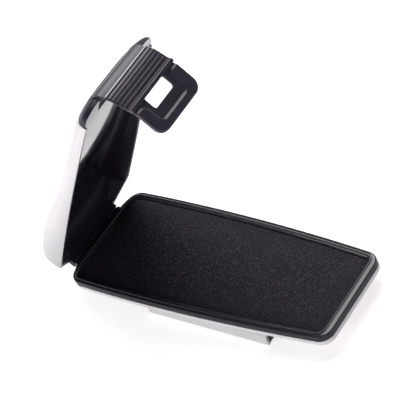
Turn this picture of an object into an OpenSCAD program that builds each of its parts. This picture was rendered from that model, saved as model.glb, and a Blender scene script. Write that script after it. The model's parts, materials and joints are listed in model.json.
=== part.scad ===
// Slim magnetic holder box: a clamshell case that clings to steel by the magnet under it.
//
// The base is a black tray in a silver skin, with a padded floor and a magnet assembly riveted
// underneath. The lid is a silver dome over a black liner. It turns on a pin at the hinge end,
// and its free end carries a black latch with a ribbed grip, a catch lip and a pull ring.
//
// Frame: origin at the centre of the magnet face, +X to the free end, +Z up, millimetres.
// Shapes are drawn in case coordinates first: x from the hinge end of the base, z from the
// rim plane of the base. Lid and latch are drawn closed, then opened by lid_open degrees.

/* [Case] */
// Length of the base, hinge end to free end
body_l = 88; // [87.8:0.1:88.2]
// Greatest width of the base
body_w = 34.6; // [33.6:0.2:36]
// How fast the long sides draw in, per square millimetre
side_bow = 0.0007; // [0.0005:0.0001:0.0009]
// Distance of the widest place from the hinge end
widest_x = 20.8; // [17:0.2:25]
// Corner radius of the free end
corner_r = 3.8; // [3.2:0.2:4.4]

/* [Base] */
// Height of the visible black wall of the tray
tray_wall = 1.9; // [1.7:0.1:2.1]
// Height of the base, skin included and magnet left out
base_h = 3.4; // [3.3:0.1:3.5]
// Thickness of the silver skin
skin_t = 0.45; // [0.4:0.05:0.5]
// Height of the bead round the pad
bead_h = 0.3; // [0.2:0.05:0.3]

/* [Magnet] */
// Length of the magnet assembly
magnet_l = 41; // [38:0.5:43]
// Width of the magnet assembly
magnet_w = 32.6; // [30:0.2:33]
// Height of the magnet assembly below the base
magnet_h = 3.2; // [3:0.1:4]
// Thickness of the steel channel
channel_t = 0.8; // [0.6:0.1:1]

/* [Lid] */
// Opening angle of the lid as drawn
lid_open = 54.3; // [0:0.1:90]
// Height of the dome towards its free end
dome_low = 4.55; // [4.5:0.05:4.8]
// Extra height of the dome over its deep end
dome_swell = 5.5; // [4.5:0.1:6.5]
// Thickness of the silver shell
shell_t = 0.6; // [0.5:0.05:0.6]
// Thickness of the liner at the crown
liner_t = 1.2; // [1:0.1:1.5]

/* [Latch] */
// Width of the latch
latch_w = 17.8; // [16.8:0.2:18]
// Number of grip grooves
grip_grooves = 6; // [4:1:6]
// Lean of the pull ring towards the base, in degrees
ring_lean = 17.5; // [15:0.5:18]
// Length of the pull ring
ring_l = 9.9; // [9:0.1:9.9]

/* [Hidden] */
$fn = 48;
// how far a cutting shape runs past what it cuts
past = 10;

// hinge axis, knuckles and pin, the webs under the base's knuckles and the strip over them
hinge_x = -1.17;
hinge_z = -2.3;
knuckle_r = 1.6;
knuckle_gap = 0.15;
strip_gap = 0.25;
knuckle_end = 11;
base_knuckles = [[-knuckle_end, -6.7], [-2.25, 2.25], [6.7, knuckle_end]];
lid_knuckles = [[-6.55, -2.4], [2.4, 6.55]];
room_gap = 0.3;
web_points = [[hinge_x, -3.3], [1.4, -3.3], [1.4, -0.9], [hinge_x, -1.1]];
strip_points = [[-2.77, -2.3], [-2.62, 0.6], [-1.3, 2.2], [0.8, 2.2], [0.8, 0.7], [-0.35, 0.4],
                [-0.35, -2.3]];
hinge_pin_r = 0.6;
pin_head_r = 0.95;
pin_head_t = 0.35;
press_gap = 0.01;
running_gap = 0.06;

// from case coordinates to the part's frame
case_x = -48;
rim_z = base_h + magnet_h;
magnet_x0 = -case_x - magnet_l / 2;

// tray, skin, bead and pad
hinge_corner_y = 11.6;
hinge_corner_r = 4;
hinge_slant = 1.4;
hinge_end_r = 1.2;
least_r = 0.6;
side_x = [14, 78];
side_step = 8;
bead_in = 0.9;
bead_w = 0.5;
bead_free = 0.5;
tray_in = skin_t + 0.1;
tray_in_hinge = 0.2;
skin_in_hinge = 0.15;
skin_seam = 0.05;
pocket_side = 2.2;
pocket_free = 2.95;
pocket_hinge = 2.6;
pocket_d = 1.5;
slope_d = 0.15;
pad_gap = 0.1;
foam_t = 0.65;
// height above the skin's lowest face, and how far it is drawn in there
skin_edge = [[0, 0.35], [0.1, 0.12], [0.28, 0]];
// height from the rim plane, and how far the pad's cover is drawn in there
pad_crown = [[foam_t - pocket_d, 0], [-0.52, 0], [-0.38, 0.25], [-0.3, 1], [-0.24, 3]];
notch_x = 1.6;

// dome of the lid
lid_x0 = hinge_x;
shell_z = 0.15;
liner_z = 0.5;
liner_gap = 0.05;
liner_rim = 2.9;
cut_y = 11;
cut_x = 5.2;
arch_n = 3.5;
end_n = 2.8;
end_l = 10.9;
swell_x = 14;
swell_l = 24.5;
shell_end = 82;
cap_x0 = shell_end + liner_gap;
liner_side = shell_t + liner_gap;
liner_end = cap_x0 + 0.5;
fall_l = 11;
fall_drop = 0.9;
fall_power = 1.5;
arc_steps = 20;
// distances of the dome's sections from its hinge end: crowded over the turn, then even
turn_steps = 10;
even_steps = 12;
lid_steps = concat([for (i = [0:turn_steps]) end_l * pow(i / turn_steps, 2)],
                   [for (i = [1:even_steps]) end_l + 5.2 * i]);
cap_steps = 8;
notch_shell = 0.2;
notch_z = 2.5;
// the shell's rim over the hinge corners clears the bead by this height, as far as lift_x
lift_z = 0.45;
lift_x = [5.2, 7.5];

// latch, its pin and the slot it sits in
latch_x = 85.2;
latch_z = 1.9;
barrel_r = 1.25;
latch_pin_r = 0.5;
slot_x = 82.95;
slot_y = latch_w / 2 + 0.2;
pin_blind_y = -12.2;
pin_open_y = 12.6;
grip_top_x = 90.15;
grip_top_z = -0.4;
grip_swell = 1.12;
grip_rate = 29;
groove_r = 0.34;
groove_sink = 0.28;
groove_z0 = -1.15;
groove_pitch = 1.12;
lip_w = 12;
ring_x = 91.15;
ring_z = -8.85;
ring_w = 17.4;
ring_t = 0.55;
ring_back = 0.6;
back_in = 0.8;
ring_band = 2.1;
ring_band_h = 0.45;
ring_top = -1.1;
ring_end = ring_top + ring_l;
ring_r = 2.8;
tab_r = 0.5;
band_r = 1.6;
band_start = 0.6;
window_r = 0.7;
window_w = 8;
window_u = [-0.25, 3.4];

// rivets through the magnet and the base, and the magnet's corners and gaps
rivet_x = [12, magnet_l - 12];
rivet_r = 1.2;
rivet_head_r = 2.2;
rivet_head_t = 0.6;
rivet_sink = 1.1;
rivet_floor = 0.5;
rivet_gap = 0.1;
rivet_well_r = rivet_head_r + 0.3;
rivet_tail_in = 0.2;
rivet_top = -pocket_d - 0.05;
channel_r = channel_t + 0.3;
block_gap = 0.1;
block_end = 0.2;

black = [0.07, 0.07, 0.08];
silver = [0.82, 0.83, 0.85];
steel = [0.62, 0.62, 0.64];
charcoal = [0.2, 0.19, 0.21];
ferrite = [0.3, 0.3, 0.3];

/* ---------- curves ---------- */

function half_w(x) = body_w / 2 - side_bow * pow(x - widest_x, 2);

// points of an arc of radius r that rounds corner b of the path a, b, c
function round_corner(a, b, c, r, n = 7) =
    let (u = (a - b) / norm(a - b), v = (c - b) / norm(c - b), half = acos(u * v) / 2,
         centre = b + (u + v) / norm(u + v) * r / sin(half),
         p = b + u * r / tan(half) - centre, q = b + v * r / tan(half) - centre,
         turn = acos(max(-1, min(1, p * q / (r * r)))) * (p.x * q.y > p.y * q.x ? 1 : -1))
    [for (i = [0:n]) let (t = turn * i / n)
        centre + [p.x * cos(t) - p.y * sin(t), p.x * sin(t) + p.y * cos(t)]];

function mirrored(points) = [for (i = [len(points) - 1:-1:0]) [points[i].x, -points[i].y]];

// plan of the base, drawn in by s along the sides, f at the free end and h at the hinge end
function plan(s = 0, f = 0, h = 0) =
    let (x1 = body_l - f, side = -half_w(0) + s,
         near = concat(
            round_corner([h, 0], [h, s - hinge_corner_y], [h + hinge_slant, side], hinge_end_r, 2),
            round_corner([h, s - hinge_corner_y], [h + hinge_slant, side],
                         [side_x[0], s - half_w(side_x[0])], max(least_r, hinge_corner_r - s)),
            [for (x = [side_x[0]:side_step:side_x[1]]) [x, s - half_w(x)]],
            round_corner([side_x[1], s - half_w(side_x[1])], [x1, s - half_w(x1)], [x1, 0],
                         max(least_r, corner_r - s))))
    concat(near, mirrored(near));

// a rounded rectangle from x0 to x1, corners of radius r0 at x0 and r1 at x1
function tab(x0, x1, half, r0, r1) =
    let (near = concat(round_corner([x0, 0], [x0, -half], [x1, -half], r0),
                       round_corner([x0, -half], [x1, -half], [x1, 0], r1)))
    concat(near, mirrored(near));

// height of the closed dome, and its half width and end curve drawn in by o
function fall(x) =
    let (u = min(1, max(0, (x - body_l + fall_l) / fall_l)))
    1 - fall_drop * (1 - sqrt(1 - pow(u, fall_power)));
function crown(x) =
    liner_z + (dome_low - liner_z + dome_swell / (1 + pow(max(0, x - swell_x) / swell_l, 2))) * fall(x);
function lid_half(x, o) =
    let (slope = (half_w(cut_x) - cut_y) / (cut_x - lid_x0))
    min(half_w(x) - o, cut_y + slope * (x - lid_x0) - o * sqrt(1 + slope * slope));
function end_curve(d) = pow(max(0, 1 - pow(max(0, 1 - d / end_l), end_n)), 1 / end_n);

// a cross section of a dome: a superellipse arch from the near rim to the far rim
function arch(x, half, base, top) =
    [for (k = [0:arc_steps]) let (a = 180 * k / arc_steps, c = cos(a))
        [x, -half * sign(c) * pow(abs(c), 2 / arch_n),
         base + (top - base) * pow(max(0, sin(a)), 2 / arch_n)]];

// sections of the lid's dome drawn in by side at its rim and by top at its crown
function dome(side, top, base, x_end) =
    [for (d = concat(lid_steps, [x_end - lid_x0]))
        let (x = lid_x0 + d + side * max(0, 1 - d / end_l))
        arch(x, lid_half(x, side), base, base + (crown(x) - top - base) * end_curve(d))];

// sections of the cap that closes the free end of the dome
function cap_half(x) =
    let (u = max(0, x - body_l + corner_r))
    half_w(x) - corner_r + sqrt(max(0, corner_r * corner_r - u * u));
function cap_sections() =
    [for (i = [0:cap_steps])
        let (x = body_l - (body_l - cap_x0) * pow(1 - i / cap_steps, 1.6),
             points = arch(x, cap_half(x), shell_z, crown(x)))
        [for (k = [arc_steps:-1:0]) points[k]]];

/* ---------- solids from sections ---------- */

// a closed skin between an outer and an inner grid of the same size
module skin_between(outer, inner) {
    rows = len(outer);
    cols = len(outer[0]);
    function id(r, c) = r * cols + c;
    function in(r, c) = rows * cols + r * cols + c;
    function quad(a, b, c, d) = [[a, b, c], [a, c, d]];
    last_r = rows - 1;
    last_c = cols - 1;
    faces = [
        for (r = [0:rows - 2]) for (c = [0:cols - 2]) each concat(
            quad(id(r, c), id(r, c + 1), id(r + 1, c + 1), id(r + 1, c)),
            quad(in(r, c), in(r + 1, c), in(r + 1, c + 1), in(r, c + 1))),
        for (c = [0:cols - 2]) each concat(
            quad(id(0, c), in(0, c), in(0, c + 1), id(0, c + 1)),
            quad(id(last_r, c), id(last_r, c + 1), in(last_r, c + 1), in(last_r, c))),
        for (r = [0:rows - 2]) each concat(
            quad(id(r, 0), id(r + 1, 0), in(r + 1, 0), in(r, 0)),
            quad(id(r, last_c), in(r, last_c), in(r + 1, last_c), id(r + 1, last_c)))];
    polyhedron([for (grid = [outer, inner]) for (row = grid) each row], faces);
}

// a solid through closed sections of equal point count, with its ends capped
module loft(sections) {
    n = len(sections[0]);
    rows = len(sections);
    polyhedron([for (s = sections) each s],
        concat([[for (i = [0:n - 1]) i]],
               [for (r = [0:rows - 2]) for (i = [0:n - 1]) let (j = (i + 1) % n)
                   each [[r * n + i, (r + 1) * n + i, (r + 1) * n + j],
                         [r * n + i, (r + 1) * n + j, r * n + j]]],
               [[for (i = [n - 1:-1:0]) (rows - 1) * n + i]]));
}

// the plan as a section at height z
function level(z, s = 0, f = 0, h = 0) = [for (p = plan(s, f, h)) [p.x, p.y, z]];

module plan_block(z0, z1, s = 0, f = 0, h = 0)
    translate([0, 0, z0]) linear_extrude(z1 - z0) polygon(plan(s, f, h));

// a cylinder along Y
module bar(x, z, r, y0, y1)
    translate([x, y1, z]) rotate([90, 0, 0]) cylinder(r = r, h = y1 - y0);

// a profile in the XZ plane, drawn out along Y
module along_y(y0, y1, points)
    translate([0, y1, 0]) rotate([90, 0, 0]) linear_extrude(y1 - y0) polygon(points);

/* ---------- placing ---------- */

module in_case() translate([case_x, 0, rim_z]) children();

module in_lid() in_case()
    translate([hinge_x, 0, hinge_z]) rotate([0, -lid_open, 0])
    translate([-hinge_x, 0, -hinge_z]) children();

// x runs down the pull ring, z out of its face
module in_ring() translate([ring_x, 0, ring_z]) rotate([0, 90 + ring_lean, 0]) children();

module at_rivets() for (x = rivet_x) translate([magnet_x0 + x, 0, 0]) children();

/* ---------- base ---------- */

// room for the lid's knuckles, in tray and skin
module knuckle_room()
    for (y = lid_knuckles)
        bar(hinge_x, hinge_z, knuckle_r + room_gap, y[0] - knuckle_gap, y[1] + knuckle_gap);

// an upright cylinder at each rivet, from z0 to z1
module rivet_bar(r, z0, z1) at_rivets() translate([0, 0, z0]) cylinder(r = r, h = z1 - z0);

module rivet_holes() rivet_bar(rivet_r + press_gap, -2 * base_h, 0);

module base_tray() color(black) in_case() difference() {
    union() {
        plan_block(-tray_wall, 0);
        plan_block(skin_t + skin_seam - base_h, -tray_wall, tray_in, tray_in, tray_in_hinge);
        difference() {
            plan_block(-slope_d, bead_h, bead_in, bead_in + bead_free, bead_in);
            plan_block(-past, past, bead_in + bead_w, bead_in + bead_w + bead_free, bead_in + bead_w);
        }
        for (y = base_knuckles) {
            bar(hinge_x, hinge_z, knuckle_r, y[0], y[1]);
            along_y(y[0], y[1], web_points);
        }
    }
    plan_block(-pocket_d, past, pocket_side, pocket_free, pocket_hinge);
    plan_block(-slope_d, past, bead_in + bead_w, bead_in + bead_w + bead_free, bead_in + bead_w);
    bar(hinge_x, hinge_z, hinge_pin_r + press_gap, -knuckle_end - 1, knuckle_end + 1);
    knuckle_room();
    rivet_holes();
    rivet_bar(rivet_head_r + rivet_gap, -pocket_d - rivet_floor, 0);
}

module base_skin() color(silver) in_case() difference() {
    loft(concat([for (e = skin_edge) level(e[0] - base_h, e[1], e[1], e[1])],
                [level(-tray_wall - skin_seam)]));
    plan_block(-base_h + skin_t, 0, skin_t, skin_t, skin_in_hinge);
    knuckle_room();
    for (y = base_knuckles)
        translate([notch_x - past, y[0] - knuckle_gap, -past])
            cube([past, y[1] - y[0] + 2 * knuckle_gap, past]);
    rivet_holes();
}

module pad_foam() color(charcoal) in_case() difference() {
    plan_block(-pocket_d, foam_t - pocket_d, pocket_side + pad_gap, pocket_free + pad_gap,
               pocket_hinge + pad_gap);
    rivet_bar(rivet_head_r + rivet_gap, -pocket_d - 1, 0);
}

// the cover of the pad, with its low crown
function pad_level(z, in) =
    level(z, pocket_side + pad_gap + in, pocket_free + pad_gap + in, pocket_hinge + pad_gap + in);

module pad_cover() color(charcoal) in_case()
    loft([for (p = pad_crown) pad_level(p[0], p[1])]);

module magnet_channel() color(steel) in_case() difference() {
    translate([magnet_x0, 0, -base_h]) rotate([90, 0, 90]) linear_extrude(magnet_l)
        polygon(let (w = magnet_w / 2, near = concat([[-w, -magnet_h]],
                    round_corner([-w, -magnet_h], [-w, 0], [0, 0], channel_r)))
                concat(near, [for (i = [len(near) - 1:-1:0]) [-near[i].x, near[i].y]]));
    translate([magnet_x0 - past, channel_t - magnet_w / 2, -rim_z - past])
        cube([magnet_l + 2 * past, magnet_w - 2 * channel_t, magnet_h + past - channel_t]);
    rivet_holes();
}

module magnet_block() color(ferrite) in_case() difference() {
    translate([magnet_x0 + block_end, channel_t + block_gap - magnet_w / 2, -rim_z])
        cube([magnet_l - 2 * block_end, magnet_w - 2 * (channel_t + block_gap), magnet_h - channel_t]);
    rivet_bar(rivet_r + rivet_gap, -2 * rim_z, 0);
    rivet_bar(rivet_well_r, -rim_z - 1, rivet_sink - rim_z);
}

module magnet_rivets() color(steel) in_case() {
    rivet_bar(rivet_r, rivet_sink - rim_z, rivet_top);
    rivet_bar(rivet_head_r, rivet_sink - rivet_head_t - rim_z, rivet_sink - rim_z);
    rivet_bar(rivet_head_r - rivet_tail_in, -pocket_d - rivet_floor, rivet_top);
}

module hinge_pin() color(steel) in_case() {
    bar(hinge_x, hinge_z, hinge_pin_r, -knuckle_end - pin_head_t, knuckle_end + pin_head_t);
    for (y = [-knuckle_end - pin_head_t, knuckle_end])
        bar(hinge_x, hinge_z, pin_head_r, y, y + pin_head_t);
}

/* ---------- lid ---------- */

module lid_shell() color(silver) in_lid() difference() {
    skin_between(dome(0, 0, shell_z, shell_end), dome(shell_t, shell_t, shell_z, shell_end));
    translate([notch_shell - past, -cut_y - knuckle_gap, notch_z - past])
        cube([past, 2 * (cut_y + knuckle_gap), past]);
    along_y(-body_w, body_w, [[-past, -past], [lift_x[1], -past], [lift_x[1], shell_z],
                              [lift_x[0], lift_z], [-past, lift_z]]);
}

// the strip of the liner that closes the gap above the knuckles and carries the lid's own
module lid_hinge() {
    difference() {
        along_y(-cut_y, cut_y, strip_points);
        for (y = base_knuckles) {
            bar(hinge_x, hinge_z, knuckle_r + strip_gap, y[0] - knuckle_gap, y[1] + knuckle_gap);
            translate([-past / 2, y[0] - knuckle_gap, hinge_z - past])
                cube([past, y[1] - y[0] + 2 * knuckle_gap, past]);
        }
    }
    for (y = lid_knuckles) bar(hinge_x, hinge_z, knuckle_r, y[0], y[1]);
}

module lid_liner() color(black) in_lid() difference() {
    union() {
        difference() {
            union() {
                skin_between(dome(liner_side, liner_side, shell_z, liner_end),
                             dome(liner_rim, liner_side + liner_t, shell_z, liner_end));
                loft(cap_sections());
            }
            translate([-past, -body_w, liner_z - past]) cube([body_l + 2 * past, 2 * body_w, past]);
        }
        lid_hinge();
    }
    translate([slot_x, -slot_y, -past]) cube([past, 2 * slot_y, 2 * past]);
    bar(latch_x, latch_z, latch_pin_r + press_gap, pin_blind_y - 0.05, body_w);
    bar(hinge_x, hinge_z, hinge_pin_r + running_gap, -knuckle_end - 1, knuckle_end + 1);
}

module latch_pin() color(steel) in_lid() bar(latch_x, latch_z, latch_pin_r, pin_blind_y, pin_open_y);

/* ---------- latch ---------- */

// outer face of the grip at height z
function grip_x(z) = grip_top_x + grip_swell * sin(min(90, (grip_top_z - z) * grip_rate));

// profile of the lever in the XZ plane: cover and grip, then the inner face
lever_outer = concat(
    [[latch_x, latch_z + barrel_r], [86.5, 3.05], [87.6, 2.6], [88.5, 1.9], [89.15, 1], [89.5, 0.1],
     [89.55, grip_top_z]],
    [for (z = [grip_top_z:-0.5:-7]) [grip_x(z), z]],
    [[91.7, -7.7], [91.8, -8.3]]);
lever_inner = [[90.5, -8.3], [90.3, -7], [90.3, -5], [90.1, -3.4], [89.85, -2.2], [89.35, -1],
               [88.9, 0], [88.3, 1], [87.4, 1.6], [86.6, 1.9], [latch_x, 0.9]];
lip = [[90.2, -3.3], [88.35, -3.55], [88.45, -3.95], [90.4, -5], [90.7, -4]];

module ring_body() in_ring() difference() {
    union() {
        translate([0, 0, -ring_t]) linear_extrude(ring_t)
            polygon(tab(ring_top, ring_end, ring_w / 2, tab_r, ring_r));
        translate([0, 0, -ring_t - ring_back]) linear_extrude(ring_back)
            polygon(tab(ring_top, ring_end - back_in, ring_w / 2 - back_in, tab_r, ring_r - back_in));
        linear_extrude(ring_band_h) difference() {
            polygon(tab(ring_top + band_start, ring_end, ring_w / 2, tab_r, ring_r));
            polygon(tab(ring_top - 1, ring_end - ring_band, ring_w / 2 - ring_band, tab_r, band_r));
        }
    }
    translate([0, 0, -past / 2]) linear_extrude(past)
        polygon(tab(window_u[0], window_u[1], window_w / 2, tab_r, window_r));
}

module latch() color(black) in_lid() difference() {
    union() {
        bar(latch_x, latch_z, barrel_r, -latch_w / 2, latch_w / 2);
        along_y(-latch_w / 2, latch_w / 2, concat(lever_outer, lever_inner));
        along_y(-lip_w / 2, lip_w / 2, lip);
        ring_body();
    }
    bar(latch_x, latch_z, latch_pin_r + running_gap, -latch_w, latch_w);
    for (i = [0:grip_grooves - 1])
        let (z = groove_z0 - groove_pitch * i)
            bar(grip_x(z) + groove_r - groove_sink, z, groove_r, -latch_w, latch_w);
}

base_tray();
base_skin();
pad_foam();
pad_cover();
magnet_channel();
magnet_block();
magnet_rivets();
hinge_pin();
lid_shell();
lid_liner();
latch_pin();
latch();
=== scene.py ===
"""Dressed model of a slim magnetic holder box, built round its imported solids.

The base is a gloss black tray in a silver skin, with a charcoal pad in its floor and a magnet
under it. The lid is a satin silver dome over a gloss black liner, and carries a ribbed latch
with a pull ring. Each sub-assembly is a class that holds its sizes in millimetres, makes its
surfaces with numpy and dresses them. Shapes are worked out in case coordinates, with x from
the hinge end of the base and z from its rim plane, the lid closed, and then placed.
"""

from __future__ import annotations

import json
import logging
import math
from dataclasses import dataclass, field
from enum import Enum
from typing import Any, Sequence, Union

import bmesh
import bpy
import numpy as np
from mathutils import Matrix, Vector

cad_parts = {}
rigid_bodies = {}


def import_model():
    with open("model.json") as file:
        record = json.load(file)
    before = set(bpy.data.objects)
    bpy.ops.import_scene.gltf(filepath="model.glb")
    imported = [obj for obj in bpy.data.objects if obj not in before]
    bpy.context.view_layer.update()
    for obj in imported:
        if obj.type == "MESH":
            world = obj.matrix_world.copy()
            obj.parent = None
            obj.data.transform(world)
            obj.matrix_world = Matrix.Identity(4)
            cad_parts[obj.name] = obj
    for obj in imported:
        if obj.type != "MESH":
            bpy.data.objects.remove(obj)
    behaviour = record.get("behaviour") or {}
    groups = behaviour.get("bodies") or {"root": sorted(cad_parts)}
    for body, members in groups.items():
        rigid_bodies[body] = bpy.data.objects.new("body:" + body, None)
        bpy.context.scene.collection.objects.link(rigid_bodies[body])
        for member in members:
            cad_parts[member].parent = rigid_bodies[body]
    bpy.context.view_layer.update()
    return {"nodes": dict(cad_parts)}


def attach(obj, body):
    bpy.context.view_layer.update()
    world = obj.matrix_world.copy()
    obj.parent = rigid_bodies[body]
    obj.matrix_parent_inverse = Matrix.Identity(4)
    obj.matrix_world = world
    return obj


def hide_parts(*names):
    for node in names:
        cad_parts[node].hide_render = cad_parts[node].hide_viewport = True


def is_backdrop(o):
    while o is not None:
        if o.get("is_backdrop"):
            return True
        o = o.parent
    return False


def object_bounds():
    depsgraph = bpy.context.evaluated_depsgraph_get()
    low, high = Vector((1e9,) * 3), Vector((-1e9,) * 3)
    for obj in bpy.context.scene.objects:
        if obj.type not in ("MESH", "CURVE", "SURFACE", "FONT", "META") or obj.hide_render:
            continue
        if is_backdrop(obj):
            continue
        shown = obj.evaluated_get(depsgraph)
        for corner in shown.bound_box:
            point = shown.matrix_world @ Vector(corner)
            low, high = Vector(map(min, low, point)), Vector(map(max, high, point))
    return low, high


LOG = logging.getLogger("holder_box")
MM = 0.001

Pair = tuple[float, float]
Triple = tuple[float, float, float]


# --------------------------------------------------------------------------- shared places


class Part(Enum):
    """The three bodies of the case."""

    BASE = "base"
    LID = "lid"
    LATCH = "latch"


class Join(Enum):
    """What combining shapes with a piece does to it."""

    CUT = "DIFFERENCE"
    ADD = "UNION"


@dataclass(frozen=True)
class Placing:
    """Places shapes from case coordinates, in millimetres, in the part's own frame.

    Args:
        case_x: X of the hinge end of the base.
        rim_z: Z of the base's rim plane.
        hinge_x: hinge axis along the case.
        hinge_z: hinge axis from the rim plane.
        opening: how far the lid stands open, in degrees.
    """

    case_x: float = -48.0
    rim_z: float = 6.6
    hinge_x: float = -1.17
    hinge_z: float = -2.3
    opening: float = 54.3

    def place(self, points: np.ndarray, part: Part) -> np.ndarray:
        """Turns lid and latch points about the hinge axis, then moves all points to the frame.

        Args:
            points: an array whose last axis is x, y, z in case coordinates.
            part: the body that the points belong to.

        Returns:
            The same array in the part's frame, in metres.
        """
        placed = np.array(points, float)
        if part is not Part.BASE:
            turn = math.radians(self.opening)
            along = placed[..., 0] - self.hinge_x
            above = placed[..., 2] - self.hinge_z
            placed[..., 0] = self.hinge_x + along * math.cos(turn) - above * math.sin(turn)
            placed[..., 2] = self.hinge_z + along * math.sin(turn) + above * math.cos(turn)
        return (placed + np.array([self.case_x, 0.0, self.rim_z])) * MM

    def unplace(self, points: np.ndarray) -> np.ndarray:
        """Takes points of the open lid or latch back to the closed case, the reverse of place.

        Args:
            points: points in the part's frame, in metres.

        Returns:
            The points in case coordinates.
        """
        turn = math.radians(self.opening)
        hinge = np.array([self.hinge_x, 0.0, self.hinge_z])
        away = points / MM - np.array([self.case_x, 0.0, self.rim_z]) - hinge
        along = away[:, 0] * math.cos(turn) + away[:, 2] * math.sin(turn)
        above = away[:, 2] * math.cos(turn) - away[:, 0] * math.sin(turn)
        return np.column_stack([along, away[:, 1], above]) + hinge


PLACING = Placing()


# --------------------------------------------------------------------------- curves


def fillet(
    a: Sequence[float], b: Sequence[float], c: Sequence[float], radius: float, steps: int
) -> np.ndarray:
    """Arc of the given radius that rounds corner b of the path a, b, c.

    The centre lies on the corner's bisector at radius / sin(half angle) from b.

    Args:
        a: point before the corner.
        b: the corner.
        c: point after the corner.
        radius: radius of the arc.
        steps: number of chords along the arc.

    Returns:
        An array of steps + 1 points, from the side of a to the side of c.
    """
    corner = np.asarray(b, float)
    to_a = np.asarray(a, float) - corner
    to_c = np.asarray(c, float) - corner
    to_a, to_c = to_a / np.linalg.norm(to_a), to_c / np.linalg.norm(to_c)
    half = math.acos(np.clip(to_a @ to_c, -1, 1)) / 2
    middle = (to_a + to_c) / np.linalg.norm(to_a + to_c)
    centre = corner + middle * radius / math.sin(half)
    first = corner + to_a * radius / math.tan(half) - centre
    last = corner + to_c * radius / math.tan(half) - centre
    start = math.atan2(first[1], first[0])
    sweep = (math.atan2(last[1], last[0]) - start + math.pi) % (2 * math.pi) - math.pi
    angles = start + np.linspace(0, sweep, steps + 1)
    return centre + radius * np.column_stack([np.cos(angles), np.sin(angles)])


def rounded(corners: Sequence[Triple], steps: int = 6) -> np.ndarray:
    """Closed polygon with each corner rounded by its own radius.

    Args:
        corners: x, z and rounding radius of each corner, in order.
        steps: chords in each rounding.

    Returns:
        The outline's points.
    """
    count = len(corners)
    arcs = []
    for index, (x, z, radius) in enumerate(corners):
        before, after = corners[index - 1][:2], corners[(index + 1) % count][:2]
        arcs.append(fillet(before, (x, z), after, radius, steps) if radius else np.array([[x, z]]))
    return np.vstack(arcs)


def resampled(points: np.ndarray, count: int) -> np.ndarray:
    """Closed curve through the given points, divided evenly along its length.

    Args:
        points: the curve's points, the first not repeated at the end.
        count: how many points to divide it into.

    Returns:
        The new points, from the same first point on.
    """
    closed = np.vstack([points, points[:1]])
    run = np.concatenate([[0], np.cumsum(np.linalg.norm(np.diff(closed, axis=0), axis=1))])
    at = np.linspace(0, run[-1], count, endpoint=False)
    return np.column_stack([np.interp(at, run, closed[:, k]) for k in range(closed.shape[1])])


def outward(points: np.ndarray) -> np.ndarray:
    """Unit normals of a closed plane curve, pointing out of it.

    The normal is the central difference of the curve turned by a quarter turn, and its sign
    comes from the curve's signed area.

    Args:
        points: the curve's points.

    Returns:
        One normal for each point.
    """
    step = np.roll(points, -1, 0) - np.roll(points, 1, 0)
    ahead = np.roll(points, -1, 0)
    area = np.sum(points[:, 0] * ahead[:, 1] - ahead[:, 0] * points[:, 1])
    normal = np.column_stack([step[:, 1], -step[:, 0]]) * (1 if area > 0 else -1)
    return normal / np.linalg.norm(normal, axis=1, keepdims=True)


def smoothstep(low: float, high: float, value: np.ndarray) -> np.ndarray:
    """Soft step from 0 at low to 1 at high, by the cubic 3t^2 - 2t^3."""
    t = np.clip((value - low) / (high - low), 0, 1)
    return t * t * (3 - 2 * t)


# --------------------------------------------------------------------------- meshes

MERGE_DISTANCE = 1e-7  # metres


def quads(rows: int, cols: int, wrap: bool, offset: int = 0) -> np.ndarray:
    """Faces of a grid of rows by cols points.

    Args:
        rows: points down the grid.
        cols: points along each row.
        wrap: whether each row closes on itself.
        offset: index of the grid's first point.

    Returns:
        An array of faces by 4 point indices.
    """
    r = np.arange(rows - 1)[:, None]
    c = np.arange(cols if wrap else cols - 1)[None, :]
    n = (c + 1) % cols
    corners = [r * cols + c, r * cols + n, (r + 1) * cols + n, (r + 1) * cols + c]
    return np.stack(np.broadcast_arrays(*corners), axis=-1).reshape(-1, 4) + offset


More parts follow.
